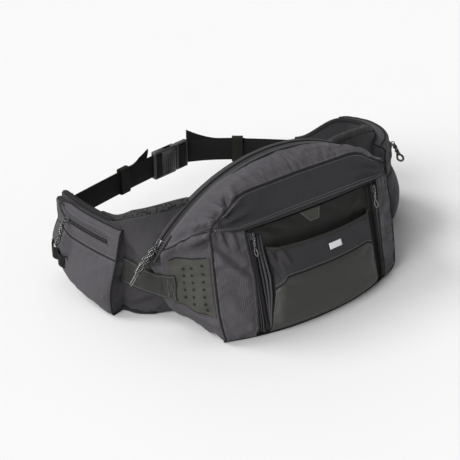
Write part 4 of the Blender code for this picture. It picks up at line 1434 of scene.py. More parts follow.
def make_bar(band):
    """A plain pale bar heat-sealed to the band."""
    x_first, x_last = low("reflective_bar")[0], high("reflective_bar")[0]
    share = [(x - STASH_LEFT) / (STASH_RIGHT - STASH_LEFT) for x in (x_first, x_last)]
    us = np.linspace(*share, 14)
    sheet = sub_sheet(band, us, np.linspace(0.42, 0.66, 6), 0.45)
    put(sheet.make("pale_bar", LOOKS["film"], 0.4, 0), "front_panel", "reflective", "reflective_bar")


# ---------------------------------------------------------------- the pouch's back

CHANNEL_HEIGHTS = (52.0, 92.0, 132.0)
CHANNEL_RISE = 0.16


def make_back():
    """The padded mesh back: swollen between stitched channels, its rim tucked inside the pouch wall."""
    low_z, half = 4.0, 196.0
    outline = np.array(zip_outline()[1:])

    def floor_z(x):
        return max(low_z, float(np.interp(abs(x), outline[:4, 0], outline[:4, 1])) - 2.0)

    def roof_z(x):
        return ARCH_CENTRE_Z + math.sqrt((ARCH_RADIUS - 5.0) ** 2 - x * x)

    def point(u, v):
        x = mix(-half, half, u)
        z = mix(floor_z(x), roof_z(x), v)
        rim = min(u * 2 * half, (1 - u) * 2 * half, v * 150.0 + 1.0, (1 - v) * 150.0 + 1.0)
        return (x, mix(-7.0, 7.2, smooth(rim / 26.0)), z)

    sheet = Sheet.of(point, 110, 64, out=-1.0)

    def channels(_u, _v, place_on_back):
        x, _, z = place_on_back
        deep = 3.4 * hill(x, 6.0)
        for height in CHANNEL_HEIGHTS:
            bend = height + abs(x) * CHANNEL_RISE
            deep = max(deep, 2.6 * hill(z - bend, 3.2) * smooth((168.0 - abs(x)) / 20.0))
        deep = max(deep, 2.2 * hill(abs(x) - 146.0, 3.0))
        return -deep

    sheet = sheet.moved(channels)
    put(sheet.make("back_pad", LOOKS["mesh"], 1.2, 1), "pouch", "spacer_mesh", "back_mesh")
    stitches, trim = Bag(), Bag()
    for height in CHANNEL_HEIGHTS:
        run = []
        for x in np.linspace(-158.0, 158.0, 90):
            z = height + abs(x) * CHANNEL_RISE
            run.append(((x + half) / (2 * half), (z - floor_z(x)) / (roof_z(x) - floor_z(x))))
        stitch_line(stitches, *sheet.path(run))
    for v in (0.985, 0.015):
        points, _ = along_sheet(sheet, (0.04, v), (0.96, v), 120, 0.3)
        trim.tube(points, 1.5, sides=8, taper=3.0)
    put(stitches.make("back_stitching", LOOKS["thread"]), "pouch", "spacer_mesh")
    put(trim.make("back_binding", LOOKS["piping"]), "pouch", "pack_fabric")


# ---------------------------------------------------------------- plan paths of the belt

class PlanPath:
    """A path in plan of straight legs and arcs that follow each other without a kink."""

    def __init__(self, start, heading, legs, sign):
        self.sign = sign
        self.legs = []
        point, angle = np.array(start, float), math.radians(heading)
        for length, turn in legs:
            bend = math.radians(turn) * sign
            self.legs.append((point, angle, length, bend))
            point, angle = self.step(point, angle, length, bend, length)
        self.length = sum(leg[2] for leg in self.legs)

    @staticmethod
    def step(point, angle, length, bend, s):
        """Point and heading s millimetres into one leg."""
        if abs(bend) < 1e-9:
            return point + np.array((math.cos(angle), math.sin(angle))) * s, angle
        radius = length / bend
        centre = point + np.array((-math.sin(angle), math.cos(angle))) * radius
        turned = angle + s / radius
        return centre - np.array((-math.sin(turned), math.cos(turned))) * radius, turned

    def at(self, s):
        """Point and heading at s millimetres from the start."""
        for point, angle, length, bend in self.legs:
            if s <= length + 1e-6:
                break
            s -= length
        return self.step(point, angle, length, bend, s)


def swing_between(start, leave, end, arrive, t):
    """A point on the curve that leaves start along one vector and reaches end along another."""
    return (start * (2 * t**3 - 3 * t**2 + 1) + leave * (t**3 - 2 * t**2 + t)
            + end * (3 * t**2 - 2 * t**3) + arrive * (t**3 - t**2))


class StrapPath:
    """A smooth plan curve from one point and heading to another."""

    def __init__(self, start, start_heading, end, end_heading, sign):
        self.sign = sign
        self.start, self.end = np.array(start, float), np.array(end, float)
        self.length = float(np.linalg.norm(self.end - self.start))
        self.pull_a = np.array((math.cos(start_heading), math.sin(start_heading))) * self.length
        self.pull_b = np.array((math.cos(end_heading), math.sin(end_heading))) * self.length

    def place(self, t):
        return swing_between(self.start, self.pull_a, self.end, self.pull_b, t)

    def at(self, s):
        """Point and heading at s millimetres from the start."""
        t = s / self.length
        along = self.place(t + 1e-3) - self.place(t - 1e-3)
        return self.place(t), math.atan2(along[1], along[0])


def path_axes(path, s):
    """Plan point, then the directions along and outward, as 3-D vectors."""
    point, heading = path.at(s)
    along = np.array((math.cos(heading), math.sin(heading), 0.0))
    outward = np.array((-math.sin(heading), math.cos(heading), 0.0)) * -path.sign
    return np.array((point[0], point[1], 0.0)), along, outward


def on_path(path, s, offset, z):
    """A point s along a path, offset outward and z up."""
    point, _, outward = path_axes(path, s)
    return point + outward * offset + np.array((0.0, 0.0, z))


class Local:
    """A local frame: x along, y outward, z up."""

    def __init__(self, origin, along, out, up):
        self.origin = np.array(origin, float)
        self.axes = np.array((along, out, up), float)

    def at(self, x, y, z):
        return self.origin + np.array((x, y, z)) @ self.axes

    def path(self, points):
        return np.array([self.at(*p) for p in points])


def path_local(path, s, offset, z, lean=0.0):
    """A frame on a path, leaned outward by an angle."""
    point, along, out = path_axes(path, s)
    up = np.array((0.0, 0.0, 1.0))
    origin = point + out * offset + up * z
    leaned = out * math.cos(lean) + up * math.sin(lean)
    return Local(origin, along, leaned, up * math.cos(lean) - out * math.sin(lean))


# ---------------------------------------------------------------- hip wings

WING_TUCK = 16.0  # how far the cloth runs on inside the pouch's wall
WING_WEB = 30.0  # where it has come round to the wing's own path


def wing_splay(side, s, z):
    """How far the wing stands out below the welt, most at its foot and a little way from its root."""
    grown = clamp(s / 40.0) * mix(1.0, 0.1, max((s - 60.0) / 150.0, 0.0))
    return side["splay"] * grown * max(1.0 - z / WELT_Z, 0.0)


def wing_low(s, length):
    """The wing's foot, which rises to the strap over its last 50 mm."""
    return 0.6 + 64.0 * max((s - length + 50.0) / 50.0, 0.0) ** 1.4


def wing_high(side, s, length):
    """The wing's top edge climbs to the pouch's crown at its root and narrows to the strap at its end."""
    top = side["high"]
    climb = 38.0 * (1.0 - smooth((s + WING_TUCK) / 92.0))
    return top + climb + (106.0 - top) * smooth((s - length + side["taper"]) / side["taper"])


PROFILE = spline(zip_outline(), 6)


def wing_place(path, side, s, offset, z):
    """A point on the wing. Near its root the cloth swings in a curve out of the pouch's wall."""
    if s >= WING_WEB:
        return on_path(path, s, wing_splay(side, s, z) + offset, z)
    t = (s + WING_TUCK) / (WING_WEB + WING_TUCK)
    inside = np.interp(z, PROFILE[:, 1], PROFILE[:, 0]) - 9.0 + 0.8 * offset
    tucked = np.array((path.sign * inside, -9.0 - 0.5 * offset, z))
    end = on_path(path, WING_WEB, wing_splay(side, WING_WEB, z) + offset, z)
    reach = float(np.linalg.norm(end - tucked))
    leave = np.array((path.sign * 0.9, 0.45, 0.0)) * reach
    arrive = path_axes(path, WING_WEB)[1] * reach
    return swing_between(tucked, leave, end, arrive, t)


def wing_sheet(path, side, offset, columns, rows, out):
    """One face of a wing, from inside the pouch's wall to the strap."""

    def point(u, v):
        s = mix(-WING_TUCK, path.length, u)
        z = mix(wing_low(s, path.length), wing_high(side, s, path.length), v)
        return wing_place(path, side, s, offset, z)

    return Sheet.of(point, columns, rows, out=out)


def hinge_run(path):
    """Two points on the wing's path at belt height, one before its root and one after it."""
    return on_path(path, -10.0, 0.0, BELT_Z), on_path(path, 22.0, 0.0, BELT_Z)


def make_wing(word, side):
    """A wing's two faces, its edges and its path in plan."""
    sign = side["sign"]
    path = PlanPath((sign * WING_ROOT[0], WING_ROOT[1]), side["heading"], side["legs"], sign)
    start, end = hinge_run(path)
    body = f"{word}_wing"
    outer = wing_sheet(path, side, 3.7, 100, 36, sign)
    outer = drape(outer, border(outer), 3.0, 0.015, 1.8)

    strokes = (
        ((0.06, 0.26), (0.26, 0.08), 5.0, 4.6), ((0.06, 0.18), (0.22, 0.02), 5.0, -3.4),
        ((0.10, 0.34), (0.28, 0.22), 5.0, -3.2), ((0.08, 0.08), (0.20, 0.00), 5.0, 3.6),
        ((0.07, 0.62), (0.26, 0.86), 7.0, 4.5), ((0.11, 0.60), (0.28, 0.72), 5.5, -3.2),
        ((0.05, 0.76), (0.18, 0.96), 5.5, -3.0),
    )
    outer = outer.folded(strokes, (0.06, 0.03, 0.12, 0.06), (6, 12.0, 0.5))
    # The wing face takes the darker fabric as painted shade: the web between the pouch and the pocket lies in
    # shade.
    piece = outer.make(f"wing_face_{word}", LOOKS["dark_fabric_and_shade"], 1.2)
    bridge(piece, "pouch", body, start, end, "pack_fabric", f"wing_{word}")
    inner = wing_sheet(path, side, -3.7, 100, 36, -sign)

    def quilt(_u, v, _point):
        edge = smooth(v * 8) * smooth((1 - v) * 8)
        deep = sum(hill(v - at, 0.022) for at in (0.28, 0.5, 0.72))
        return edge * (0.8 - 2.4 * deep)

    inner = inner.moved(quilt)
    if side["lining"] != "mesh":
        folds = (((0.02, 0.92), (0.40, 0.80), 7.0, 3.0), ((0.10, 0.99), (0.36, 0.88), 6.0, -3.0),
                 ((0.42, 0.96), (0.66, 0.70), 8.0, 2.6), ((0.05, 0.50), (0.45, 0.42), 9.0, -2.4))
        inner = inner.folded(folds, (0.05, 0.05, 0.08, 0.05))
    piece = inner.make(f"wing_lining_{word}", LOOKS[side["lining"]], 1.2)
    bridge(piece, "pouch", body, start, end, "spacer_mesh")
    make_wing_edges(word, side, path)
    return path


def make_wing_edges(word, side, path):
    """Binding round the wing, and the thick roll of mesh where its top edge meets the pouch."""
    body = f"{word}_wing"
    start, end = hinge_run(path)
    last = path.length
    rim = [(s, wing_low(s, last)) for s in np.linspace(4.0, last, 60)]
    ends = (wing_low(last, last), wing_high(side, last, last))
    rim += [(last, mix(*ends, t)) for t in np.linspace(0.05, 0.95, 12)]
    rim += [(s, wing_high(side, s, last)) for s in np.linspace(last, 64.0, 50)]
    points = [wing_place(path, side, s, 0.0, max(z, 4.3)) for s, z in rim]
    binding = tube(f"wing_binding_{word}", points, 4.2, LOOKS["piping"], sides=10, taper=6.0)
    bridge(binding, "pouch", body, start, end, "pack_fabric")
    stations = np.linspace(-WING_TUCK + 1.0, 96.0, 70)
    edge = [wing_place(path, side, s, -5.0, wing_high(side, s, last) + 1.0) for s in stations]
    thick = 7.5 * np.sqrt(np.clip((96.0 - stations) / 70.0, 0.12, 1.0))
    roll = tube(f"mesh_roll_{word}", edge, thick, LOOKS["mesh"], sides=18, taper=6.0)
    bridge(roll, "pouch", body, start, end, "spacer_mesh")


BAND_STITCHES = (
    ((0.02, 0.06), (0.98, 0.06)), ((0.02, 0.94), (0.98, 0.94)),
    ((0.02, 0.1), (0.02, 0.9)), ((0.13, 0.1), (0.13, 0.9)),
    ((0.02, 0.1), (0.13, 0.9)), ((0.02, 0.9), (0.13, 0.1)),
)


def make_band(word, side, path, ring):
    """The elastic that pulls the pouch towards the hip pocket, sewn down at both ends."""
    sign = side["sign"]
    last = side["pocket"][0] + 3.0
    rows = []
    for v in np.linspace(0, 1, 9):
        z = mix(46.0, 84.0, v)
        u_ring = ring_u(mix(3.2, 4.1, v), sign)
        sewn, _ = ring.path([(u_ring, ring_v(at)) for at in (1.86, 1.7, 1.5, 1.3, 1.1)], 2.4)
        free = [wing_place(path, side, s, ON_WING + 2.6, z) for s in (6.0, 16.0, 28.0, 38.0, last)]
        rows.append(even(spline(np.concatenate([sewn, free]), 6), 56))
    sheet = Sheet(np.array(rows), out=sign)
    band = sheet.make(f"side_band_{word}", LOOKS["elastic"], 1.6, 1)
    start, end = hinge_run(path)
    nodes = (f"compression_band_{word}", f"band_end_{word}")
    bridge(band, "pouch", f"{word}_wing", start, end, "elastic", *nodes)
    stitches = Bag()
    for run in BAND_STITCHES:
        stitch_line(stitches, *along_sheet(sheet, *run, 50), radius=0.36)
    sewn = stitches.make(f"side_band_stitching_{word}", LOOKS["thread"])
    bridge(sewn, "pouch", f"{word}_wing", start, end, "elastic")


# ---------------------------------------------------------------- hip pockets

def pocket_section(side, s, f):
    """The hip pocket's outline at a station: its belly thins to the rear, its lid keeps one depth."""
    depth = side["depth"] * (1.0 - 0.2 * (1.0 - f) ** 3 - 0.6 * f**3)
    lid = side["lid"] * (1.0 - 0.7 * smooth((f - 0.6) / 0.4))
    brow = mix(side["brow"], 5.0, smooth((f - 0.6) / 0.4))
    low_z = 0.6 + POCKET_RISE * f**2
    top = side["high"] - 2.0
    top -= side["drop"] * smooth((f - 0.7) / 0.3)

    def clear(z):
        return ON_WING + wing_splay(side, s, z)

    belly = mix(low_z, WELT_Z, 0.5)
    return np.array([
        (clear(low_z), low_z), (clear(low_z) + depth * 0.62, low_z),
        (clear(low_z + 12.0) + depth * 0.85, low_z + 12.0), (clear(belly) + depth, belly),
        (ON_WING + lid, WELT_Z), (ON_WING + brow, top), (ON_WING, top),
    ])


def lid_place(side, s, f, t):
    """Offset, height and lean of a point on the sloping lid; t runs up from the welt to the top."""
    low_point, high_point = pocket_section(side, s, f)[4:6]
    lean = math.atan2(low_point[0] - high_point[0], high_point[1] - low_point[1])
    return mix(low_point[0], high_point[0], t), mix(low_point[1], high_point[1], t), lean


POCKET_FOLDS = (
    ((0.03, 0.97), (0.34, 0.62), 6.0, 2.6), ((0.22, 0.98), (0.50, 0.72), 6.0, -2.2),
    ((0.08, 0.42), (0.50, 0.34), 7.0, 1.8), ((0.62, 0.92), (0.92, 0.45), 6.0, 2.6),
    ((0.80, 0.94), (0.96, 0.60), 4.5, -2.2), ((0.05, 0.18), (0.40, 0.10), 5.0, 1.6),
)
LID_FOLDS = (((0.86, 0.1), (0.96, 0.8), 4.0, 1.8), ((0.05, 0.2), (0.16, 0.8), 5.0, 1.4))
END_FOLDS = (
    ((0.1, 0.44), (0.9, 0.56), 5.0, -3.0), ((0.2, 0.62), (0.95, 0.72), 5.0, 2.6),
    ((0.1, 0.30), (0.9, 0.22), 6.0, 2.0), ((0.3, 0.84), (0.9, 0.90), 4.0, -2.0),
)


def pocket_face(side, path):
    """The pocket's bellied face, from the base up to the zip."""
    first, last = side["pocket"]

    def belly(u, v):
        s = mix(first, last, u)
        outline = even(spline(pocket_section(side, s, u)[:5], 8), 41)
        index = v * 40
        k = min(int(index), 39)
        offset, z = mix(outline[k], outline[k + 1], index - k)
        return on_path(path, s, offset, max(z, 0.4))

    front = Sheet.of(belly, 54, 38, out=side["sign"])
    front = drape(front, border(front), 4.0, 0.03, 4.5)
    return front.folded(POCKET_FOLDS, (0.06, 0.06, 0.08, 0.06), (8, 8.0, 0.6))


def pocket_lid(side, path):
    """The sloping lid, with a short shelf back to the wing at its top."""
    first, last = side["pocket"]

    def lid_point(u, v):
        s = mix(first, last, u)
        points = pocket_section(side, s, u)[4:7]
        travel = v * 1.1
        if travel <= 1.0:
            offset, z = mix(points[0], points[1], travel)
            swell = 0.6 * math.sin(math.pi * travel)
        else:
            offset, z = mix(points[1], points[2], (travel - 1.0) * 10)
            swell = 0.0
        return on_path(path, s, offset + swell, z + swell * 0.4)

    lid = Sheet.of(lid_point, 54, 16, out=side["sign"])
    lid = drape(lid, border(lid), 2.5, 0.01, 0.8)
    return lid.folded(LID_FOLDS, (0.08, 0.08, 0.15, 0.2), (9, 10.0, 0.4))


def pocket_end(edge, root, out):
    """The cloth that closes one end of the pocket, dished and creased."""

    def dish(u, v, _point):
        return -3.0 * math.sin(math.pi * u) * smooth(v * 5) * smooth((1 - v) * 5)

    grid = [[mix(a, b, t) for t in np.linspace(0, 1, 9)] for a, b in zip(np.array(root), edge)]
    sheet = Sheet(np.array(grid), out=out)
    return sheet.moved(dish).folded(END_FOLDS, (0.15, 0.15, 0.1, 0.1))


def make_hip_pocket(word, side, path):
    """A wing's zipped pocket: face, lid, both ends, piping and stitches."""
    sign = side["sign"]
    body = f"{word}_wing"
    front = pocket_face(side, path)
    face = front.make(f"hip_pocket_face_{word}", LOOKS["fabric"], 1.2)
    put(face, body, "pack_fabric", f"hip_pocket_{word}")
    lid = pocket_lid(side, path)
    put(lid.make(f"hip_pocket_lid_{word}", LOOKS["fabric"], 1.2), body, "pack_fabric")
    trim, stitches = Bag(), Bag()
    first, last = side["pocket"]
    for word_end, column, s, out in (("front", 0, first, sign), ("rear", -1, last, -sign)):
        edge = np.concatenate([front.points[:, column], lid.points[1:, column]])
        root = [on_path(path, s, ON_WING - 1.0, p[2]) for p in edge]
        gusset = pocket_end(edge, root, out)
        put(gusset.make(f"hip_pocket_{word_end}_{word}", LOOKS["fabric"], 0.9, 1), body, "pack_fabric")
        trim.tube(spline(edge[::3], 3), 1.3, sides=8, taper=2.0)
    points, normals = along_sheet(front, (0.0, 1.0), (1.0, 1.0), 70)
    trim.tube(points + normals * 0.3, 1.1, sides=8, taper=2.0)
    stitch_line(stitches, *along_sheet(front, (0.02, 0.965), (0.98, 0.965), 70))
    stitch_line(stitches, *along_sheet(front, (0.035, 0.2), (0.035, 0.98), 50))
    stitch_line(stitches, *along_sheet(lid, (0.02, 0.07), (0.98, 0.07), 70))
    points, _ = along_sheet(lid, (0.0, 0.93), (1.0, 0.93), 70, 0.2)
    trim.tube(points, 1.4, sides=8, taper=2.0)
    put(trim.make(f"hip_pocket_piping_{word}", LOOKS["piping"]), body, "pack_fabric")
    put(stitches.make(f"hip_pocket_stitching_{word}", LOOKS["thread"]), body, "pack_fabric")
    make_hip_zip(word, side, path)


def make_hip_zip(word, side, path):
    """The lid's zip: it runs along the pocket and hooks up at its rear end."""
    body = f"{word}_wing"
    first, last = side["pocket"]
    zip_first, zip_last = side["pocket_zip"]

    def place_at(s, t):
        offset, z, lean = lid_place(side, s, (s - first) / (last - first), t)
        local = path_local(path, s, offset, z, lean)
        return local.at(0.0, 1.6, 0.0), local.axes[1]

    slider = mix(zip_first, zip_last, side["slider_at"])
    turn = max(slider + 6.0, zip_last - 34.0)
    run = [(s, 0.5) for s in np.linspace(zip_first - 8.0, turn, 44)]
    hook_wide = zip_last + 2.0 - turn
    for a in np.linspace(0.0, math.pi / 2, 18)[1:]:
        run.append((turn + hook_wide * math.sin(a), 0.5 + 0.46 * (1.0 - math.cos(a))))
    placed = [place_at(s, t) for s, t in run]
    path_points = even(spline([p for p, _ in placed], 2), 110)
    normals = unit(even([n for _, n in placed], 110))
    across = unit(np.cross(tangents(path_points), normals)) * -side["sign"]
    edge = np.minimum(lengths(path_points), 5.0) / 5.0
    width = 5.6 * np.sqrt(np.clip(edge, 0.05, 1.0))
    points = path_points + normals * 0.7
    strip = tape(f"hip_zip_tape_{word}", points, normals, width, LOOKS["tape"], 0.6, 0.0)
    put(strip, body, "zip_tape", f"hip_zip_{word}")
    teeth, lips, stitches = Bag(), Bag(), Bag()
    coil(teeth, points[8:] + normals[8:] * 0.2, normals[8:], 2.0)
    for shift, radius in ((-4.3, 1.2), (4.3, 1.2), (7.2, 1.1)):
        lips.tube(points + across * (shift * edge)[:, None] + normals * 0.1, radius, sides=8, taper=3.0)
    for shift in (-6.6, 9.8, 12.4):
        stitch_line(stitches, points + across * (shift * edge)[:, None], normals, lift=-0.3)
    put(teeth.make(f"hip_zip_coil_{word}", LOOKS["coil"]), body, "zip_tape")
    put(lips.make(f"hip_zip_lips_{word}", LOOKS["fabric"]), body, "pack_fabric")
    put(stitches.make(f"hip_zip_stitching_{word}", LOOKS["thread"]), body, "pack_fabric")


def make_gear_loop(side, path):
    """Webbing sewn to the left pocket's face in loops, each held by a bar of stitches."""
    first, last = side["pocket"]
    start = last - 62.0
    stations = np.linspace(start, last - 12.0, 61)
    centre, out = [], []
    for s in stations:
        face = pocket_section(side, s, (s - first) / (last - first))[3][0]
        wave = abs(math.sin(math.pi * (s - start) / 25.0))
        centre.append(on_path(path, s, face + 2.2 + 6.0 * wave**0.8, 50.0))
        out.append(path_axes(path, s)[2])
    across = np.tile((0.0, 0.0, 1.0), (61, 1))
    loop = strap("gear_loop_webbing", centre, across, np.array(out), 10.0, 1.5, LOOKS["webbing"])
    put(loop, "left_wing", "webbing", "gear_loop_left")
    bars = Bag()
    for k in (0, 30, 60):
        for step in (-0.9, 0.0, 0.9):
            local = path_local(path, stations[k] + step, 0.0, 0.0)
            base = centre[k] + local.axes[0] * step + local.axes[1] * 1.0
            bars.tube([base + (0, 0, z) for z in np.linspace(-8.5, 8.5, 12)], 0.5, sides=5, taper=1.0)
    put(bars.make("gear_loop_bars", LOOKS["thread"]), "left_wing", "webbing")


# ---------------------------------------------------------------- sliders and pulls

def block(name, local, low_corner, high_corner, look, bevel=0.8):
    """A box in a local frame with rounded edges."""
    x0, y0, z0 = low_corner
    x1, y1, z1 = high_corner
    corners = [(x, y, z) for z in (z0, z1) for y in (y0, y1) for x in (x0, x1)]
    faces = [(0, 2, 3, 1), (4, 5, 7, 6), (0, 1, 5, 4), (2, 6, 7, 3), (0, 4, 6, 2), (1, 3, 7, 5)]
    obj = make_object(name, local.path(corners), faces, look)
    face_outward(obj)
    if bevel:
        more = obj.modifiers.new("rounded", "BEVEL")
        more.width = bevel * MM
        more.segments = 3
        more.limit_method = "NONE"
        apply_modifiers(obj)
    return obj


def carve(obj, cutters):
    """Cuts the cutters out of the object and removes them."""
    for cutter in cutters:
        tool = obj.modifiers.new("cut", "BOOLEAN")
        tool.operation = "DIFFERENCE"
        tool.object = cutter
        tool.solver = "EXACT"
    apply_modifiers(obj)
    for cutter in cutters:
        bpy.data.objects.remove(cutter, do_unlink=True)
    return obj


def make_slider(name, local, length, width, low_y, high_y):
    """A zip slider: two plates, the neck between them and the bridge that holds the pull."""
    half, side = length / 2, width / 2
    metal = LOOKS["metal"]
    top = block(f"{name}_plate", local, (-half, high_y - 1.5, -side), (half, high_y, side), metal, 0.6)
    base = block(f"{name}_base", local, (-half, low_y, -side), (half, low_y + 1.1, side), metal, 0.45)
    neck_ends = (0.0, low_y + 0.5, -1.3), (half - 0.6, high_y - 0.5, 1.3)
    neck = block(f"{name}_neck", local, *neck_ends, metal, 0.3)
    arch = [(-half * 0.75, high_y - 0.6, 0.0), (-half * 0.6, high_y + 1.3, 0.0), (0.0, high_y + 2.2, 0.0),
            (half * 0.6, high_y + 1.3, 0.0), (half * 0.75, high_y - 0.6, 0.0)]
    bridge_bar = tube(f"{name}_bridge", spline(local.path(arch), 4), 0.9, metal)
    put(top, name, "slider_metal", name)
    for piece in (base, neck, bridge_bar):
        put(piece, name, "slider_metal")


CORD_TWIST = 0.62  # share of a pull's length where its two strands are wound together


def make_cord_pull(name, local, length, radius, sag=3.0, turns=1.1, loop=4.0):
    """A pull of doubled cord: two strands wound round each other that open into a loop."""
    down = []
    for t in np.linspace(0.0, 1.0, 46):
        opening = math.sin(math.pi * clamp((t - CORD_TWIST) / (1.0 - CORD_TWIST))) ** 0.8
        spread = radius * 1.05 * smooth(t / 0.06) + (loop - radius) * opening
        spread *= math.sqrt(max(1.0 - max((t - 0.9) / 0.1, 0.0) ** 2, 0.0))
        turn = math.tau * turns * min(t / CORD_TWIST, 1.0)
        down.append((spread * math.cos(turn), spread * math.sin(turn), -t * length, sag * t * t))
    strands = [(x, y + lift, z) for x, y, z, lift in down]
    strands += [(-x, -y + lift, z) for x, y, z, lift in reversed(down[:-1])]
    pull = tube(f"{name}_cord", spline(local.path(strands), 2), radius, LOOKS["cord"], sides=10)
    put(pull, name, "cord", name)
    angles = np.linspace(0, math.tau, 20, endpoint=False)
    bail = [(2.3 * math.cos(a), 0.0, 2.3 * math.sin(a)) for a in angles]
    put(tube(f"{name}_ring", local.path(bail), 0.7, LOOKS["metal"], closed=True), name, "slider_metal")
    sleeve = local.path([(0.0, sag * t * t, -length * t) for t in np.linspace(0.50, CORD_TWIST, 6)])
    put(tube(f"{name}_sleeve", sleeve, radius * 2.15, LOOKS["plastic"], sides=14, taper=1.2), name, "moulded")


def make_main_sliders():
    """The main zip's two sliders, side by side near its left end, with their cord pulls."""
    for name, degrees, side_step, lift in (("lower", -52.5, 3.2, 0.5), ("upper", -48.6, -3.2, 3.0)):
        a = math.radians(degrees)
        tangent = np.array((math.cos(a), 0.0, -math.sin(a)))
        outward = np.array((math.sin(a), 0.0, math.cos(a)))
        x, z = arch_point(degrees)
        local = Local((x, ZIP_Y, z), tangent, outward, np.cross(tangent, outward))
        make_slider(f"main_slider_{name}", local, 11.6, 9.0, 1.3, 6.0)
        x, z = arch_point(degrees - 1.7, ARCH_RADIUS + 5.0)
        origin = np.array((x, ZIP_Y + side_step, z)) + outward * (CORD_RADIUS + lift)
        hang = Local(origin, np.cross(outward, tangent), outward, tangent)
        make_cord_pull(f"main_pull_{name}", hang, 42.0, 2.3, 1.0, 1.4 if name == "lower" else -1.2, 5.4)


def make_front_sliders():
    """The sliders at the top of the front panel's two zips."""
    for word, x in (("left", TRACK_LEFT), ("right", TRACK_RIGHT)):
        first, last = HEM_Z - 18.0, HEM_Z - 9.0
        foot, head = np.array(front_point(x, first)), np.array(front_point(x, last))
        up = unit(head - foot)
        across = unit(np.array(front_point(x + 4.0, first)) - np.array(front_point(x - 4.0, first)))
        outward = np.cross(across, up)
        local = Local((foot + head) / 2, up, outward, np.cross(up, outward))
        make_slider(f"front_slider_{word}", local, 9.6, 7.2, 0.3, 4.3)
        pivot = np.array(front_point(x, first + 3.0, -5.7))
        hang = Local(pivot, across, outward, up)
        make_cord_pull(f"front_pull_{word}", hang, 25.0, 1.1, 1.0, 1.2, 2.6)


def make_hip_sliders(word, side, path):
    """A hip pocket's slider, the ring it carries and the pull that hangs from the ring."""
    first, last = side["pocket"]
    s = mix(*side["pocket_zip"], side["slider_at"])
    offset, z, lean = lid_place(side, s, (s - first) / (last - first), 0.5)
    local = path_local(path, s, offset, z, lean)
    make_slider(f"hip_slider_{word}", local, 11.0, 8.0, 2.6, 7.1)
    angles = np.linspace(0, math.tau, 22, endpoint=False)
    ring = [(0.0, 9.6 + 3.6 * math.cos(a), 3.6 * math.sin(a)) for a in angles]
    bail = tube(f"hip_slider_bail_{word}", local.path(ring), 0.75, LOOKS["metal"], closed=True)
    put(bail, f"hip_slider_{word}", "slider_metal")
    hang = path_local(path, s, offset + 12.5, z - 1.0, 0.42)
    make_cord_pull(f"hip_pull_{word}", hang, 34.0, 1.7, 1.5, 1.3, 4.4)


# ---------------------------------------------------------------- belt

def make_belt_half(word, side, wing_path):
    """The webbing from a wing's end to the buckle, its tail, keeper and sewn end."""
    sign = side["sign"]
    body = f"{word}_wing"
    start, heading = wing_path.at(wing_path.length)
    start = start + np.array((math.cos(heading), math.sin(heading))) * 0.4
    end_x = (FEMALE_BACK - 0.4) if word == "left" else (MALE_END + 0.4)
    end = BUCKLE.at(end_x, 0.0, 0.0)[:2]
    path = StrapPath(start, heading, end, math.radians(side["strap_end"]), sign)
    up = np.array((0.0, 0.0, 1.0))

    def ribbon(name, stations, offset, rise, half_width, node):
        centre, across, out = [], [], []
        for s in stations:
            outward = path_axes(path, s)[2]
            centre.append(on_path(path, s, offset(s), BELT_Z + rise(s)))
            out.append(outward)
            across.append(up)
        band = strap(name, centre, across, out, half_width, 1.7, LOOKS["webbing"])
        put(band, body, "webbing", node)
        return centre

    def flat(_s):
        return 0.0

    full = np.linspace(-9.0, path.length, 90)
    ribbon(f"belt_webbing_{word}", full, flat, flat, WEBBING / 2, f"belt_strap_{word}")
    first, last = path.length - side["tail"], path.length - 2.0

    def free(s):
        return clamp(((s - first) / (last - first) - 0.42) / 0.58)

    stations = np.linspace(first, last, 50)
    width = np.full(len(stations), WEBBING / 2)
    if word == "left":
        width = WEBBING / 2 * np.clip((last - stations) / 24.0, 0.04, 1.0) ** 0.6
    ribbon(f"belt_tail_{word}", stations, lambda s: 1.6 + 7.0 * free(s) ** 2,
           lambda s: side["tail_rise"] * free(s) ** 1.8, width, f"strap_tail_{word}")
    make_keeper(word, path, first + 12.0)
    make_wing_tip(word, side, wing_path)


def make_wing_tip(word, side, path):
    """Where the webbing leaves the wing: a patch of doubled fabric with a stitched cross."""
    last = path.length
    stations = np.linspace(last - 22.0, last + 1.0, 9)
    grid = []
    for v in np.linspace(0, 1, 9):
        z = mix(BELT_Z - 17.0, BELT_Z + 17.0, v)
        grid.append([on_path(path, s, wing_splay(side, s, z) + 6.8, z) for s in stations])
    sheet = Sheet(np.array(grid), out=side["sign"])
    put(sheet.make(f"wing_tip_{word}", LOOKS["webbing"], 1.0, 0), f"{word}_wing", "webbing")
    stitches = Bag()
    a, b, c, d = (0.1, 0.1), (0.9, 0.1), (0.9, 0.9), (0.1, 0.9)
    for run in ((a, b), (b, c), (c, d), (d, a), (a, c), (d, b)):
        stitch_line(stitches, *along_sheet(sheet, *run, 14))
    put(stitches.make(f"wing_tip_stitching_{word}", LOOKS["thread"]), f"{word}_wing", "webbing")


KEEPER_PROFILE = (
    (-9.0, 0.0), (-9.0, 1.1), (-8.2, 1.4), (0.0, 1.25),
    (8.2, 1.4), (9.0, 1.1), (9.0, 0.0), (0.0, -0.1),
)


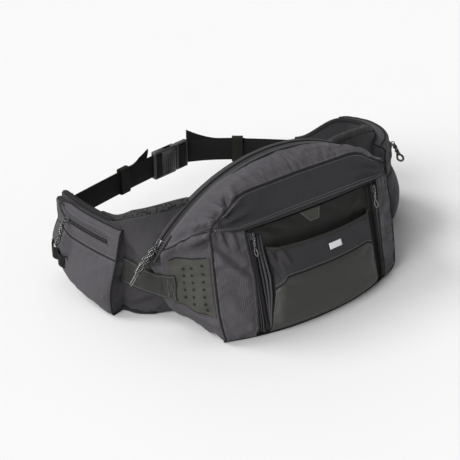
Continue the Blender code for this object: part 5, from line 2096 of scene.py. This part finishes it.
def make_keeper(word, path, s):
    """An elastic sleeve round the strap and its tail."""
    local = path_local(path, s, 1.2, BELT_Z)
    half_z, half_y, corner = WEBBING / 2 + 1.8, 4.5, 2.5
    outline = []
    for sign_y, sign_z, turn in ((1, 1, 0.0), (-1, 1, 0.25), (-1, -1, 0.5), (1, -1, 0.75)):
        for t in np.linspace(0, 0.25, 6):
            a = math.tau * (turn + t)
            outline.append((0.0, sign_y * (half_y - corner) + corner * math.cos(a),
                            sign_z * (half_z - corner) + corner * math.sin(a)))
    ring = even(np.array(outline + outline[:1]), 49)[:-1]
    points = local.path(ring)
    centre = local.path([(0.0, 0.0, 0.0)])[0]
    around = unit(np.roll(points, -1, axis=0) - np.roll(points, 1, axis=0))
    normal = np.cross(around, local.axes[0])
    away = np.sign(np.sum(normal * (points - centre), axis=1, keepdims=True))
    rings = np.array([points + local.axes[0] * x + normal * away * grow for x, grow in KEEPER_PROFILE])
    levels, count = rings.shape[:2]
    uv = [(mix(-9.0, 9.0, r / (levels - 1)), k * 2.0) for r in range(levels) for k in range(count)]
    faces = ring_faces(levels, count, closed=True)
    sleeve = make_object(f"keeper_sleeve_{word}", rings.reshape(-1, 3), faces, LOOKS["keeper"], uv)
    face_outward(sleeve)
    put(sleeve, f"keeper_{word}", "elastic", f"keeper_{word}")


YAW = math.radians(BUCKLE_YAW)
BUCKLE = Local(
    (*BUCKLE_CENTRE, BELT_Z),
    (math.cos(YAW), math.sin(YAW), 0.0),
    (-math.sin(YAW), math.cos(YAW), 0.0),
    (0.0, 0.0, 1.0),
)


def make_female():
    """The socket half: a ribbed shell with side windows, and two bars that hold the webbing."""
    half_b, half_t = BUCKLE_WIDTH / 2, BUCKLE_THICK / 2
    shell = (FEMALE_BACK, -half_t, -half_b), (FEMALE_MOUTH, half_t, half_b)
    body = block("buckle_socket", BUCKLE, *shell, LOOKS["plastic"], 3.0)
    hollow = (-16.0, -3.6, 2.4 - half_b), (FEMALE_MOUTH + 2.0, 3.6, half_b - 2.4)
    cutters = [block("cut_socket", BUCKLE, *hollow, None, 0)]
    for sign in (-1.0, 1.0):
        ends = sorted((sign * (half_b - 5.0), sign * (half_b + 3.0)))
        cutters.append(block("cut_window", BUCKLE, (-13.0, -3.0, ends[0]), (2.0, 3.0, ends[1]), None, 0))
    for x in (-33.0, -25.5):
        cutters.append(block("cut_slot", BUCKLE, (x, -9.0, -20.5), (x + 4.5, 9.0, 20.5), None, 0))
    put(carve(body, cutters), "left_wing", "moulded", "buckle_female")
    ribs = Bag()
    for x in (-15.0, -11.0, -7.0, -3.0, 1.0, 5.0):
        for side in (-1.0, 1.0):
            rib = [(x, side * half_t, z) for z in np.linspace(-15.0, 15.0, 12)]
            ribs.tube(BUCKLE.path(rib), 0.8, taper=2.0)
    put(ribs.make("buckle_ribs", LOOKS["plastic"]), "left_wing", "moulded")
    make_webbing_turn("left", (-30.7, -23.2))


def make_webbing_turn(word, bars):
    """The webbing's turn round the buckle's bars."""
    first, last = bars
    middle = (first + last) / 2
    run = [
        (first - 5.0, 1.0, 0.0), (first, 5.6, 0.0), (middle, 6.6, 0.0), (last, 5.4, 0.0),
        (last + 2.6, 0.0, 0.0),
        (last, -5.4, 0.0), (middle, -6.6, 0.0), (first, -5.6, 0.0), (first - 5.0, -1.0, 0.0),
    ]
    if word == "right":
        run = [(2 * middle - x, y, z) for x, y, z in run]
    path = spline(BUCKLE.path(run), 6)
    along = tangents(path)
    across = np.tile((0.0, 0.0, 1.0), (len(path), 1))
    out = np.cross(along, across)
    turn = strap(f"webbing_turn_{word}", path, across, out, WEBBING / 2 - 0.3, 1.5, LOOKS["webbing"])
    put(turn, f"{word}_wing", "webbing")


PRONG_PROFILE = (
    (9.9, 11.5), (4.0, 12.4), (-4.0, 12.6), (-13.0, 12.0), (-14.6, 14.0), (-12.0, 17.6),
    (-8.0, 19.8), (-3.4, 20.0), (-1.0, 17.8), (4.0, 17.2), (9.9, 17.0),
)


def make_male():
    """The tongue half: a frame with two slots, a guide tongue, and a sprung prong at each side."""
    half_b = BUCKLE_WIDTH / 2 - 1.0
    start = FEMALE_MOUTH + 0.6
    plastic = LOOKS["plastic"]
    body = block("buckle_tongue", BUCKLE, (start, -4.5, -half_b), (MALE_END, 4.5, half_b), plastic, 2.2)
    cutters = []
    for x in (16.0, 26.0):
        cutters.append(block("cut_slot", BUCKLE, (x, -9.0, -20.5), (x + 5.5, 9.0, 20.5), None, 0))
    put(carve(body, cutters), "right_wing", "moulded", "buckle_male")
    guide = block("buckle_guide", BUCKLE, (-8.0, -1.9, -5.5), (start + 2.0, 1.9, 5.5), plastic, 0.8)
    put(guide, "right_wing", "moulded")
    make_webbing_turn("right", (18.7, 28.7))
    profile = spline(PRONG_PROFILE, 4)
    for sign, word in ((-1.0, "lower"), (1.0, "upper")):
        rings = [[BUCKLE.at(x, y, sign * z) for x, z in profile] for y in (-1.9, -1.5, 1.5, 1.9)]
        for row, y in ((0, -1.9), (3, 1.9)):
            middle = BUCKLE.at(-2.0, y, sign * 15.5)
            rings[row] = [mix(p, middle, 0.06) for p in rings[row]]
        points = np.array(rings).reshape(-1, 3)
        prong = make_object(f"prong_arm_{word}", points, ring_faces(4, len(profile)), LOOKS["plastic"])
        face_outward(prong)
        put(prong, f"prong_{word}", "moulded", f"prong_{word}")


def make_belt(ring):
    """Both wings with their pockets, bands and webbing, and the buckle between them."""
    for word, side in SIDES.items():
        path = make_wing(word, side)
        make_band(word, side, path, ring)
        make_hip_pocket(word, side, path)
        make_hip_sliders(word, side, path)
        make_belt_half(word, side, path)
        if word == "left":
            make_gear_loop(side, path)
    make_female()
    make_male()


# ---------------------------------------------------------------- stage, light and camera

WORLD_LIGHT = 0.28
LIGHTS = (
    ("key", (-0.80, -0.20, 0.55), 40.0, 2.4),
    ("rim", (-0.45, 0.50, 0.74), 25.0, 1.6),
    ("back", (0.2, 0.6, 0.75), 60.0, 0.6),
)
CAMERA_TARGET = (-45.0, 20.0, 90.0)
CAMERA_AZIMUTH, CAMERA_ELEVATION, CAMERA_DISTANCE = -37.0, 30.0, 1.9
LENS, SENSOR = 102.6, 36.0
FRAME_SHIFT = (-0.0043478, -0.0108696)


def make_stage():
    """The floor, the even grey world and three soft lamps."""
    floor = Shader("studio_floor", (0.80, 0.80, 0.80), 0.9, on_cad=True)
    floor.darken(floor.noise(300.0, 1.0), 0.01)
    look = floor.finish()
    half = 12000.0
    corners = [(-half, -half, 0.0), (half, -half, 0.0), (half, half, 0.0), (-half, half, 0.0)]
    plane = make_object("floor", corners, [(0, 1, 2, 3)], look)
    world = bpy.data.worlds.new("studio")
    bpy.context.scene.world = world
    world.use_nodes = True
    background = world.node_tree.nodes["Background"]
    background.inputs["Color"].default_value = (0.9, 0.9, 0.9, 1.0)
    background.inputs["Strength"].default_value = WORLD_LIGHT
    for name, direction, softness, power in LIGHTS:
        lamp = bpy.data.lights.new(name, "SUN")
        lamp.angle = math.radians(softness)
        lamp.energy = power
        obj = bpy.data.objects.new(name, lamp)
        obj.rotation_euler = (-Vector(direction)).to_track_quat("-Z", "Y").to_euler()
        bpy.context.scene.collection.objects.link(obj)


def make_camera():
    """The camera looks down on the pack's left front corner."""
    data = bpy.data.cameras.new("camera")
    data.lens = LENS
    data.sensor_width = SENSOR
    data.shift_x, data.shift_y = FRAME_SHIFT
    camera = bpy.data.objects.new("camera", data)
    a, e = math.radians(CAMERA_AZIMUTH), math.radians(CAMERA_ELEVATION)
    back = Vector((math.sin(a) * math.cos(e), -math.cos(a) * math.cos(e), math.sin(e)))
    camera.location = Vector(place(CAMERA_TARGET)) + back * CAMERA_DISTANCE
    camera.rotation_euler = (-back).to_track_quat("-Z", "Y").to_euler()
    bpy.context.scene.collection.objects.link(camera)
    bpy.context.scene.camera = camera


def keep_cad(name, look):
    """A CAD node that stays, with its own material."""
    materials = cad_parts[name].data.materials
    materials.clear()
    materials.append(look)


def build():
    """Everything, in order, and the CAD nodes that stay as they are."""
    ring = make_pouch()
    make_front()
    make_front_panel()
    make_back()
    make_main_sliders()
    make_front_sliders()
    make_belt(ring)
    keep_cad("frame_sheet", LOOKS["board"])
    for name in ("lumbar_pad_left", "lumbar_pad_right"):
        keep_cad(name, LOOKS["foam"])
    keep_cad("inner_organiser", LOOKS["lining"])
    make_stage()
    make_camera()
    bpy.context.scene.view_settings.view_transform = "Standard"


build()
